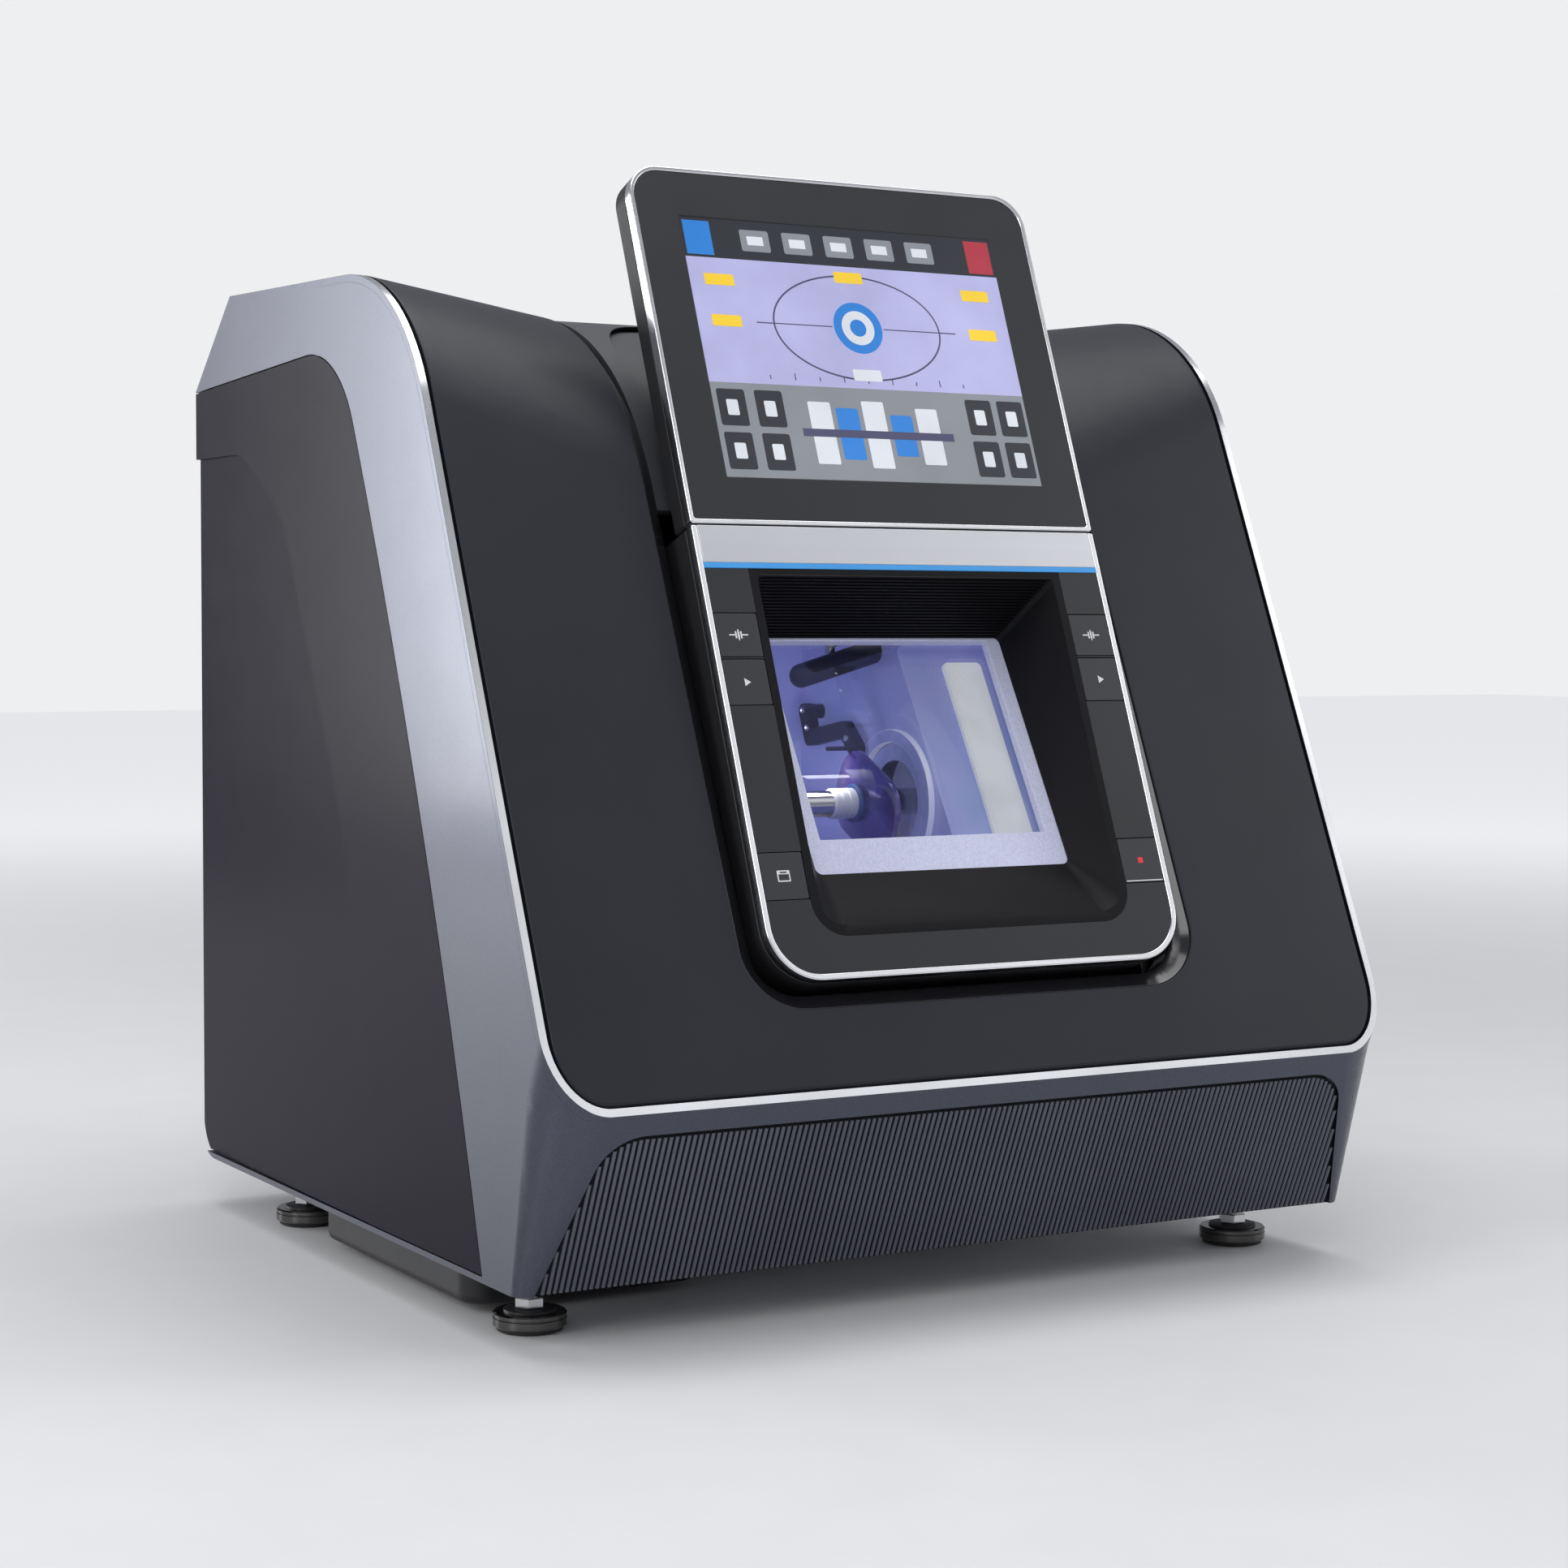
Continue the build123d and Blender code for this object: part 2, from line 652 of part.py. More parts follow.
# Front cover: a skin that sags from the sides towards the slot along its top
COVER_STATIONS = (
    (-COVER_HALF, SIDE_TOP_HEIGHT, SIDE_TOP_R),
    (-SLOT_HALF, MIDDLE_TOP_HEIGHT, MIDDLE_TOP_R),
    (SLOT_HALF, MIDDLE_TOP_HEIGHT, MIDDLE_TOP_R),
    (COVER_HALF, SIDE_TOP_HEIGHT, SIDE_TOP_R),
)
flare = (HALF_WIDTH - COVER_HALF) / (COVER_HALF - SLOT_HALF)
edge_top = SIDE_TOP_HEIGHT + flare * (SIDE_TOP_HEIGHT - MIDDLE_TOP_HEIGHT)
edge_radius = SIDE_TOP_R + flare * (SIDE_TOP_R - MIDDLE_TOP_R)
BLANK_STATIONS = (
    (-HALF_WIDTH, edge_top, edge_radius),
    *COVER_STATIONS[1:3],
    (HALF_WIDTH, edge_top, edge_radius),
)
with BuildPart() as front_cover:
    for x, top, radius in BLANK_STATIONS:
        with BuildSketch(Plane.YZ.offset(x)):
            add(cover_band(top, radius, 0, COVER_WALL, 0, SEAM_Y - SEAM_GAP))
    loft(ruled=True)
    add(corner_column(TRIM_WIDTH + TRIM_GAP), mode=Mode.INTERSECT)
    with BuildSketch(COVER_PLANE.offset(BODY_DEPTH / 2)):
        add(slot_outline(SLOT_HALF, SLOT_FOOT, SLOT_CORNER_R, 2 * BODY_DEPTH))
    extrude(amount=-2 * BODY_DEPTH, mode=Mode.SUBTRACT)
save(front_cover, "front_cover")

# Liner of the slot: a bevel that runs round the slot's foot and over the top on both sides
LINER_INNER_R = SLOT_CORNER_R - LINER_WIDTH
LINER_FOOT = SLOT_FOOT + LINER_WIDTH
liner_join = SLOT_FOOT + 2 * SLOT_CORNER_R
bevel_floor = LINER_DROP + LINER_BEVEL
with BuildPart() as slot_liner:
    with BuildSketch(COVER_PLANE.offset(-LINER_DROP)):
        add(slot_outline(SLOT_HALF, SLOT_FOOT, SLOT_CORNER_R, liner_join))
    extrude(amount=LINER_DROP - LINER_DEPTH)
    with BuildSketch(COVER_PLANE.offset(-LINER_DROP)):
        add(slot_outline(SLOT_HALF, SLOT_FOOT, SLOT_CORNER_R, liner_join))
    with BuildSketch(COVER_PLANE.offset(-bevel_floor)):
        add(slot_outline(LINER_HALF, LINER_FOOT, LINER_INNER_R, liner_join))
    loft(ruled=True, mode=Mode.SUBTRACT)
    with BuildSketch(COVER_PLANE):
        add(slot_outline(LINER_HALF, LINER_FOOT, LINER_INNER_R, liner_join))
    extrude(amount=-2 * LINER_DEPTH, mode=Mode.SUBTRACT)
    for side in (-1, 1):
        for x, drop in ((SLOT_HALF, LINER_DROP), (LINER_HALF, bevel_floor)):
            with BuildSketch(Plane.YZ.offset(side * x)):
                end_y = SEAM_Y - SEAM_GAP
                size = (MIDDLE_TOP_HEIGHT, MIDDLE_TOP_R, drop, LINER_DEPTH, liner_join, end_y)
                add(cover_band(*size))
        loft(ruled=True)
save(slot_liner, "slot_liner")


def arch_outline():
    """Outline of the shallow arch in the panel behind the display, on the cover's plane."""
    with BuildSketch() as outline:
        with Locations((0, ARCH_TOP)):
            Rectangle(ARCH_WIDTH, ARCH_TOP, align=(Align.CENTER, Align.MAX))
        fillet(outline.vertices().group_by(Axis.Y)[-1], ARCH_CORNER_R)
    return outline.sketch


# Panel behind the display, between the liner's two sides, with a shallow arch in it
centre_layout = (CENTRE_TOP_HEIGHT, CENTRE_TOP_R)
with BuildPart() as arch_sink:
    with BuildSketch(Plane.YZ):
        add(cover_band(*centre_layout, -ARCH_SINK, ARCH_SINK, 0, SEAM_Y, CENTRE_SINK))
    extrude(amount=LINER_HALF, both=True)
    with BuildSketch(COVER_PLANE.offset(BODY_DEPTH / 2)):
        add(arch_outline())
    extrude(amount=-2 * BODY_DEPTH, mode=Mode.INTERSECT)

with BuildPart() as centre_panel:
    with BuildSketch(Plane.YZ):
        end_y = SEAM_Y - SEAM_GAP
        add(cover_band(*centre_layout, 0, CENTRE_WALL, CENTRE_FOOT, end_y, CENTRE_SINK))
    extrude(amount=LINER_HALF, both=True)
    add(arch_sink.part, mode=Mode.SUBTRACT)
save(centre_panel, "centre_panel")


def rear_band(top, radius):
    """Section of the top cover: back along the top and down the rear slope."""
    start_y = SEAM_Y + SEAM_GAP
    slope_y = REAR_Y - REAR_SLOPE_RUN
    start_z = top_height(top, radius, start_y)
    slope_z = top_height(top, radius, slope_y)
    slope = atan((slope_z - REAR_TOP_HEIGHT) / REAR_SLOPE_RUN)
    with BuildSketch() as band:
        with BuildLine():
            Polyline(
                (start_y, start_z),
                (slope_y, slope_z),
                (REAR_Y, REAR_TOP_HEIGHT),
                (REAR_Y - COVER_WALL / sin(slope), REAR_TOP_HEIGHT),
                (slope_y - COVER_WALL * tan(slope / 2), slope_z - COVER_WALL),
                (start_y, start_z - COVER_WALL),
                close=True,
            )
        make_face()
    return band.sketch


# Top cover: carries the sag of the front cover back to the rear slope
with BuildPart() as top_cover:
    for x, top, radius in COVER_STATIONS:
        with BuildSketch(Plane.YZ.offset(x)):
            add(rear_band(top, radius))
    loft(ruled=True)
save(top_cover, "top_cover")

# Side panels: let into the housing's sides, each with a step that fades out towards its foot
step_turn = degrees(atan(PANEL_STEP / (REAR_Y - STEP_FADE_Y)))


def step_outline():
    """Outline of the stepped area of a side panel, from the line where the step fades out."""
    with BuildSketch() as outline:
        with BuildLine():
            Polyline(*[(y - STEP_FADE_Y, z) for y, z in STEP_LINE], close=True)
        make_face()
        fillet(outline.vertices().group_by(Axis.Y)[-2], STEP_CORNER_R)
        fillet(outline.vertices().group_by(Axis.Y)[-1].sort_by(Axis.X)[0], STEP_CORNER_R)
    return outline.sketch


for side, name in ((-1, "side_panel_left"), (1, "side_panel_right")):
    step_plane = Plane(
        origin=(side * HALF_WIDTH, STEP_FADE_Y, 0),
        x_dir=(-side * sin(radians(step_turn)), cos(radians(step_turn)), 0),
        z_dir=(cos(radians(step_turn)), side * sin(radians(step_turn)), 0),
    )
    with BuildPart() as side_panel:
        with BuildSketch(Plane.YZ.offset(side * HALF_WIDTH)):
            add(panel_outline(PANEL_GAP))
        extrude(amount=-side * PANEL_THICK)
        with BuildSketch(Plane.YZ):
            add(body_side)
        extrude(amount=2 * HALF_WIDTH, both=True, mode=Mode.INTERSECT)
        with BuildSketch(step_plane):
            add(step_outline())
        extrude(amount=side * 2 * PANEL_THICK, mode=Mode.SUBTRACT)
    save(side_panel, name)

# Rear panel: closes the back and turns under the body, with openings for air, fan and mains
REAR_PLANE = Plane(origin=(0, REAR_Y, 0), x_dir=(-1, 0, 0), z_dir=(0, 1, 0))
with BuildSketch() as rear_hollow:
    with Locations((REAR_Y - COVER_WALL, BODY_UNDERSIDE + COVER_WALL)):
        size = (2 * REAR_FOOT_R + LEDGE_WIDTH, REAR_TOP_HEIGHT)
        Rectangle(*size, align=(Align.MAX, Align.MIN))
    hollow_foot = rear_hollow.vertices().group_by(Axis.Y)[0].sort_by(Axis.X)[-1]
    fillet(hollow_foot, REAR_FOOT_R - COVER_WALL)

with BuildPart() as rear_panel:
    with BuildSketch(Plane.YZ):
        add(body_side)
        with Locations((REAR_Y - REAR_FOOT_R - LEDGE_WIDTH, BODY_UNDERSIDE)):
            size = (2 * REAR_FOOT_R + LEDGE_WIDTH, REAR_TOP_HEIGHT - BODY_UNDERSIDE)
            Rectangle(*size, align=(Align.MIN, Align.MIN), mode=Mode.INTERSECT)
        add(rear_hollow.sketch, mode=Mode.SUBTRACT)
    extrude(amount=INNER_HALF, both=True)
    with BuildSketch(REAR_PLANE):
        for row in range(-4, 5):
            height = row * FAN_SIZE / 10
            half_chord = sqrt((FAN_SIZE / 2 - FAN_RIM) ** 2 - height**2)
            with Locations((-FAN_CENTRE[0], FAN_CENTRE[1] + height)):
                SlotOverall(2 * half_chord, VENT_WIDTH)
        with Locations((-VENT_CENTRE[0], VENT_CENTRE[1])):
            with GridLocations(2 * VENT_WIDTH, 0, VENT_SLOTS, 1):
                SlotOverall(VENT_LENGTH, VENT_WIDTH, rotation=90)
        with Locations((-INLET_CENTRE[0], INLET_CENTRE[1])):
            Rectangle(*INLET_SIZE)
        with Locations((-SWITCH_CENTRE[0], SWITCH_CENTRE[1])):
            Rectangle(*SWITCH_SIZE)
    extrude(amount=-2 * COVER_WALL, mode=Mode.SUBTRACT)
    with Locations(REAR_PLANE):
        with Locations(*SCREW_SPOTS):
            CounterSinkHole(REAR_SCREW_R, REAR_SCREW_HEAD_R, 2 * COVER_WALL)
save(rear_panel, "rear_panel")

# Screws of the rear panel: countersunk and flush, so that nothing stands proud at the back
with BuildPart() as rear_panel_screws:
    for screw_x, screw_z in SCREW_SPOTS:
        spot = Plane(
            origin=(-screw_x, REAR_Y, screw_z), x_dir=(-1, 0, 0), z_dir=(0, 1, 0)
        )
        with BuildSketch(spot):
            Circle(REAR_SCREW_HEAD_R)
        extrude(amount=REAR_SCREW_R - REAR_SCREW_HEAD_R, taper=45)
        with BuildSketch(spot.offset(REAR_SCREW_R - REAR_SCREW_HEAD_R)):
            Circle(REAR_SCREW_R)
        extrude(amount=-REAR_SCREW_LENGTH)
        with BuildSketch(spot):
            RegularPolygon(REAR_SCREW_R / 2, 6)
        extrude(amount=REAR_SCREW_R - REAR_SCREW_HEAD_R, mode=Mode.SUBTRACT)
save(rear_panel_screws, "rear_panel_screws")

# ---- Chassis, base and feet --------------------------------------------------------------------

PLATE_FRONT_Y = chin_point(-CHIN_LENGTH, HOUSING_WALL)[0] + COVER_WALL
PLATE_REAR_Y = REAR_Y - REAR_FOOT_R
FOOT_CENTRES = [
    (side * (HALF_WIDTH - FOOT_SIDE_INSET), row)
    for row in (FRONT_Y + FOOT_FRONT_SETBACK, REAR_Y - FOOT_REAR_SETBACK)
    for side in (-1, 1)
]
UPRIGHT_INNER = TOWER_HALF
UPRIGHT_OUTER = UPRIGHT_INNER + UPRIGHT_THICK
with BuildPart() as chassis:
    with BuildSketch(Plane.XY.offset(PLATE_FOOT)):
        with Locations((0, PLATE_FRONT_Y)):
            size = (2 * INNER_HALF, PLATE_REAR_Y - PLATE_FRONT_Y)
            Rectangle(*size, align=(Align.CENTER, Align.MIN))
        with Locations(FOOT_CENTRES):
            Circle(STUD_R + RUNNING_GAP, mode=Mode.SUBTRACT)
    extrude(amount=PLATE_THICK)
    add(wall_column, mode=Mode.INTERSECT)
    with BuildSketch(Plane.YZ):
        with BuildLine():
            Polyline(
                (on_tower(0, TOWER_DEPTH)[0], PLATE_TOP),
                on_tower(0, TOWER_DEPTH),
                on_tower(0, TOWER_DEPTH - UPRIGHT_LAP),
                on_tower(TOWER_HEIGHT - UPRIGHT_LAP, TOWER_DEPTH - UPRIGHT_LAP),
                (UPRIGHT_CREST_Y, UPRIGHT_TOP),
                (UPRIGHT_REAR_Y, UPRIGHT_TOP),
                (UPRIGHT_REAR_Y, PLATE_TOP),
                close=True,
            )
        make_face()
    extrude(amount=UPRIGHT_OUTER, both=True)
    with BuildSketch(Plane.YZ):
        with Locations((0, PLATE_TOP)):
            size = (2 * BODY_DEPTH, BODY_DEPTH)
            Rectangle(*size, align=(Align.CENTER, Align.MIN))
    extrude(amount=UPRIGHT_INNER, both=True, mode=Mode.SUBTRACT)
    with BuildSketch(Plane.YZ):
        with Locations((CHAMBER_BACK, SHELF_TOP)):
            size = (SHELF_DEPTH, UPRIGHT_THICK)
            Rectangle(*size, align=(Align.MAX, Align.MAX))
    extrude(amount=UPRIGHT_INNER, both=True)
    with BuildSketch(Plane.YZ):
        with Locations(PIVOT_AXIS):
            Circle(PIVOT_R)
    extrude(amount=UPRIGHT_OUTER, both=True, mode=Mode.SUBTRACT)
    with BuildSketch(Plane.YZ.offset(UPRIGHT_INNER)):
        with Locations(WHEEL_AXIS):
            Circle(2 * SPINDLE_R)
    extrude(amount=UPRIGHT_THICK, mode=Mode.SUBTRACT)
    with BuildSketch(Plane.YZ):
        with Locations((UPRIGHT_REAR_Y - 3 * UPRIGHT_LAP, SHELF_TOP + 3 * UPRIGHT_LAP)):
            RectangleRounded(3 * UPRIGHT_LAP, 3 * UPRIGHT_LAP, UPRIGHT_LAP / 2)
    extrude(amount=UPRIGHT_OUTER, both=True, mode=Mode.SUBTRACT)
save(chassis, "chassis")

# Pump box under the left half
with BuildPart() as pump_box:
    with BuildSketch(Plane.XY.offset(PUMP_BOX_FOOT)):
        with Locations(PUMP_BOX_CENTRE):
            RectangleRounded(*PUMP_BOX_SIZE, PUMP_BOX_CORNER_R)
    extrude(amount=PLATE_FOOT - PUMP_BOX_FOOT)
    fillet(pump_box.faces().sort_by(Axis.Z)[0].edges(), PUMP_BOX_EDGE_R)
save(pump_box, "pump_box")

# Levelling feet: a disc with a waist groove, a collar, a hexagon and a stud into the base plate
disc_top = FOOT_HEIGHT - FOOT_SOLE
FOOT_NAMES = ("foot_front_left", "foot_front_right", "foot_rear_left", "foot_rear_right")
for (foot_x, foot_y), name in zip(FOOT_CENTRES, FOOT_NAMES):
    foot_axis = Axis((foot_x, foot_y, 0), (0, 0, 1))
    with BuildPart() as levelling_foot:
        with BuildSketch(Plane(origin=(foot_x, foot_y, 0), x_dir=(1, 0, 0), z_dir=(0, -1, 0))):
            with BuildLine():
                Polyline(
                    (0, 0),
                    (FOOT_R - FOOT_STEP, 0),
                    (FOOT_R - FOOT_STEP, FOOT_SOLE),
                    (FOOT_R, FOOT_SOLE + FOOT_STEP / 3),
                    (FOOT_R, disc_top - 2 * FOOT_STEP / 3),
                    (FOOT_R - FOOT_STEP, disc_top),
                    (FOOT_R - FOOT_COLLAR_INSET, disc_top),
                    (FOOT_R - FOOT_COLLAR_INSET, FOOT_HEIGHT),
                    (2 * STUD_R, FOOT_HEIGHT + FOOT_STEP),
                    (STUD_R, FOOT_HEIGHT + FOOT_STEP),
                    (STUD_R, PLATE_TOP + STUD_R),
                    (0, PLATE_TOP + STUD_R),
                    close=True,
                )
            make_face()
        revolve(axis=foot_axis)
        with BuildSketch(Plane.XY.offset(FOOT_HEIGHT + FOOT_STEP)):
            with Locations((foot_x, foot_y)):
                RegularPolygon(FOOT_HEX_R, 6)
        extrude(amount=FOOT_HEX_HEIGHT)
    save(levelling_foot, name)

# ---- Tower -------------------------------------------------------------------------------------

STRIP_FOOT = BAND_FOOT - STRIP_HEIGHT
FLANGE_HALF = RECESS_HALF + RECESS_RIM
FLANGE_FOOT = RECESS_FOOT - RECESS_RIM
OPENING_FOOT = DOOR_OVERLAP
OPENING_TOP = DOOR_HEIGHT - DOOR_OVERLAP
KEY_ROWS = (CLAMP_KEY, START_KEY, LOWER_KEY)

# Silver rim: up both sides of the tower's face and round its foot
with BuildPart() as tower_rim:
    with BuildSketch(TOWER_PLANE):
        add(tower_outline(0, 0, TOWER_HEIGHT))
        foot = TOWER_RIM_WIDTH
        add(tower_outline(TOWER_RIM_WIDTH, foot, TOWER_HEIGHT), mode=Mode.SUBTRACT)
    extrude(amount=-TOWER_RIM_DEPTH)
save(tower_rim, "tower_rim")

# Sleeve behind the face, with a roof that carries the display's hinges
with BuildPart() as tower_housing:
    with BuildSketch(TOWER_PLANE.offset(-TOWER_RIM_DEPTH)):
        add(tower_outline(0, 0, TOWER_HEIGHT))
        add(tower_outline(TOWER_WALL, TOWER_WALL, TOWER_HEIGHT), mode=Mode.SUBTRACT)
    extrude(amount=TOWER_RIM_DEPTH - TOWER_DEPTH)
    with BuildSketch(TOWER_PLANE.offset(-TOWER_RIM_DEPTH)):
        with Locations((0, TOWER_HEIGHT)):
            size = (TOWER_WIDTH - TOWER_WALL, TOWER_WALL)
            Rectangle(*size, align=(Align.CENTER, Align.MAX))
    extrude(amount=TOWER_RIM_DEPTH - TOWER_ROOF_DEPTH)
save(tower_housing, "tower_housing")


def flange_outline():
    """Outline of the recess insert's flange, square at the top under the blue strip."""
    with BuildSketch() as outline:
        with Locations((0, FLANGE_FOOT)):
            size = (2 * FLANGE_HALF, STRIP_FOOT - FLANGE_FOOT)
            Rectangle(*size, align=(Align.CENTER, Align.MIN))
        fillet(outline.vertices().group_by(Axis.Y)[0], RECESS_FOOT_R + RECESS_RIM)
    return outline.sketch


# Black face of the tower, with a pocket and a stem hole for each key
with BuildPart() as tower_fascia:
    with BuildSketch(TOWER_PLANE.offset(-FASCIA_SINK)):
        add(tower_outline(TOWER_RIM_WIDTH, TOWER_RIM_WIDTH, STRIP_FOOT))
        add(flange_outline(), mode=Mode.SUBTRACT)
    extrude(amount=-FASCIA_THICK)
    for side in (-1, 1):
        for foot, top in KEY_ROWS:
            with BuildSketch(TOWER_PLANE):
                with Locations((side * COLUMN_CENTRE, (foot + top) / 2)):
                    Rectangle(RIM_INNER_HALF - FLANGE_HALF, top - foot + 2 * KEY_GAP)
            extrude(amount=-KEY_POCKET, mode=Mode.SUBTRACT)
            with BuildSketch(TOWER_PLANE):
                with Locations((side * COLUMN_CENTRE, (foot + top) / 2)):
                    Circle(STEM_R + KEY_GAP)
            extrude(amount=-2 * FASCIA_THICK, mode=Mode.SUBTRACT)
save(tower_fascia, "tower_fascia")

# Keys: a flat cap in each pocket, on a round stem
KEY_NAMES = {
    (-1, CLAMP_KEY): "key_clamp_left",
    (1, CLAMP_KEY): "key_clamp_right",
    (-1, START_KEY): "key_start_left",
    (1, START_KEY): "key_start_right",
    (-1, LOWER_KEY): "key_door",
    (1, LOWER_KEY): "key_stop",
}
for (side, (foot, top)), name in KEY_NAMES.items():
    with BuildPart() as key:
        with BuildSketch(TOWER_PLANE.offset(-KEY_SINK)):
            with Locations((side * COLUMN_CENTRE, (foot + top) / 2)):
                RectangleRounded(KEY_WIDTH, top - foot, KEY_CORNER_R)
        extrude(amount=-KEY_THICK)
        with BuildSketch(TOWER_PLANE.offset(-KEY_SINK - KEY_THICK)):
            with Locations((side * COLUMN_CENTRE, (foot + top) / 2)):
                Circle(STEM_R)
        extrude(amount=-FASCIA_THICK)
    save(key, name)


def recess_loft(grow):
    """Tapering space from the recess's mouth to the door, grown by a wall."""
    with BuildPart() as space:
        with BuildSketch(TOWER_PLANE):
            add(recess_outline(grow, RECESS_FOOT, RECESS_TOP))
        with BuildSketch(DOOR_PLANE) as inner_end:
            with Locations((0, DOOR_HEIGHT / 2)):
                size = (DOOR_WIDTH - 2 * DOOR_OVERLAP, OPENING_TOP - OPENING_FOOT)
                Rectangle(size[0] + 2 * grow, size[1] + 2 * grow)
            fillet(inner_end.vertices(), RECESS_TOP_R)
        loft(ruled=True)
    return space.part


recess_space = recess_loft(0)
brow_front = on_tower(RECESS_TOP, 0)
brow_rear = on_door(OPENING_TOP, 0)
brow_run = brow_rear[0] - brow_front[0]
brow_drop = brow_front[1] - brow_rear[1]
brow_length = sqrt(brow_run**2 + brow_drop**2)
rib_step = brow_length / BROW_RIBS
BROW_PLANE = Plane(
    origin=(0, brow_rear[0], brow_rear[1]),
    x_dir=(1, 0, 0),
    z_dir=(0, -brow_drop / brow_length, -brow_run / brow_length),
)
with BuildPart() as brow_ribs:
    with BuildSketch(BROW_PLANE):
        with Locations((0, brow_length / 2)):
            with GridLocations(0, rib_step, 1, BROW_RIBS):
                Rectangle(RECESS_WIDTH, rib_step / 2)
    extrude(amount=BROW_RIB_HEIGHT)
    add(recess_space, mode=Mode.INTERSECT)

# Recess insert: a flange in the face, a funnel back to the door and a ribbed brow
with BuildPart() as recess_insert:
    with BuildSketch(TOWER_PLANE.offset(-FASCIA_SINK)):
        add(flange_outline())
    extrude(amount=-RECESS_WALL)
    add(recess_loft(RECESS_WALL))
    with BuildSketch(TOWER_PLANE.offset(-FASCIA_SINK)):
        Rectangle(2 * BODY_WIDTH, 2 * BODY_DEPTH)
    extrude(amount=BODY_DEPTH, mode=Mode.SUBTRACT)
    add(recess_space, mode=Mode.SUBTRACT)
    add(brow_ribs.part)
    with BuildSketch(TOWER_PLANE):
        with Locations((0, STRIP_FOOT)):
            size = (2 * BODY_WIDTH, TOWER_HEIGHT - STRIP_FOOT)
            Rectangle(*size, align=(Align.CENTER, Align.MIN))
    extrude(amount=-BAND_THICK, mode=Mode.SUBTRACT)
save(recess_insert, "recess_insert")

# Blue strip and brushed band across the top of the face
for name, foot, top in (
    ("blue_strip", STRIP_FOOT, BAND_FOOT),
    ("brushed_band", BAND_FOOT, TOWER_HEIGHT),
):
    with BuildPart() as band:
        with BuildSketch(TOWER_PLANE):
            with Locations((0, foot)):
                Rectangle(2 * RIM_INNER_HALF, top - foot, align=(Align.CENTER, Align.MIN))
        extrude(amount=-BAND_THICK)
    save(band, name)

# ---- Display -----------------------------------------------------------------------------------

with BuildPart() as display_rim:
    with BuildSketch(TOWER_PLANE):
        add(display_outline(0))
        add(display_outline(DISPLAY_RIM_WIDTH), mode=Mode.SUBTRACT)
    extrude(amount=-DISPLAY_RIM_DEPTH)
save(display_rim, "display_rim")

SCREEN_MIDDLE = SCREEN_FOOT + SCREEN_HEIGHT / 2
with BuildPart() as display_bezel:
    with BuildSketch(TOWER_PLANE.offset(-BEZEL_SINK)):
        add(display_outline(DISPLAY_RIM_WIDTH))
        with Locations((0, SCREEN_MIDDLE)):
            Rectangle(SCREEN_WIDTH, SCREEN_HEIGHT, mode=Mode.SUBTRACT)
    extrude(amount=-BEZEL_THICK)
save(display_bezel, "display_bezel")

with BuildPart() as touch_screen:
    with BuildSketch(TOWER_PLANE.offset(-SCREEN_SINK)):
        with Locations((0, SCREEN_MIDDLE)):
            Rectangle(SCREEN_WIDTH, SCREEN_HEIGHT)
    extrude(amount=-SCREEN_THICK)
save(touch_screen, "touch_screen")

HINGE_AXIS = on_tower(HINGE_HEIGHT, HINGE_DEPTH)
HINGE_AXIS_PLANE = Plane(
    origin=(0, HINGE_AXIS[0], HINGE_AXIS[1]), x_dir=TOWER_PLANE.y_dir, z_dir=(1, 0, 0)
)

# Back shell of the display: an open tray with two hinge arms on its rear
with BuildPart() as display_back:
    with BuildSketch(TOWER_PLANE.offset(-DISPLAY_RIM_DEPTH)):
        add(display_outline(0))
    extrude(amount=DISPLAY_RIM_DEPTH - DISPLAY_DEPTH)
    for side in (-1, 1):
        with BuildSketch(HINGE_AXIS_PLANE.offset(side * HINGE_SPACING / 2)):
            Circle(HINGE_KNUCKLE_R)
            arm_reach = HINGE_DEPTH - DISPLAY_RIM_DEPTH
            with Locations((0, arm_reach / 2)):
                Rectangle(2 * HINGE_KNUCKLE_R, arm_reach)
        extrude(amount=HINGE_ARM_WIDTH / 2, both=True)
        with BuildSketch(HINGE_AXIS_PLANE.offset(side * HINGE_SPACING / 2)):
            Circle(HINGE_PIN_R + RUNNING_GAP)
        extrude(amount=HINGE_ARM_WIDTH, both=True, mode=Mode.SUBTRACT)
    with BuildSketch(TOWER_PLANE.offset(-DISPLAY_RIM_DEPTH)):
        add(display_outline(SHELL_WALL))
    shell_floor = DISPLAY_DEPTH - SHELL_WALL
    extrude(amount=DISPLAY_RIM_DEPTH - shell_floor, mode=Mode.SUBTRACT)
save(display_back, "display_back")

# Hinge brackets on the tower's roof: two ears each, joined by their own pin
with BuildPart() as display_hinge_brackets:
    for side in (-1, 1):
        for ear in (-1, 1):
            ear_start = side * HINGE_SPACING / 2 + ear * (HINGE_ARM_WIDTH / 2 + SLIDE_GAP)
            with BuildSketch(HINGE_AXIS_PLANE.offset(ear_start)):
                Circle(HINGE_KNUCKLE_R)
                drop = HINGE_HEIGHT - TOWER_HEIGHT
                Rectangle(drop, 2 * HINGE_KNUCKLE_R, align=(Align.MAX, Align.CENTER))
            extrude(amount=ear * HINGE_EAR)
        with BuildSketch(HINGE_AXIS_PLANE.offset(side * HINGE_SPACING / 2)):
            Circle(HINGE_PIN_R)
        extrude(amount=HINGE_ARM_WIDTH / 2 + SLIDE_GAP + HINGE_EAR, both=True)
save(display_hinge_brackets, "display_hinge_brackets")

# ---- Chamber door ------------------------------------------------------------------------------

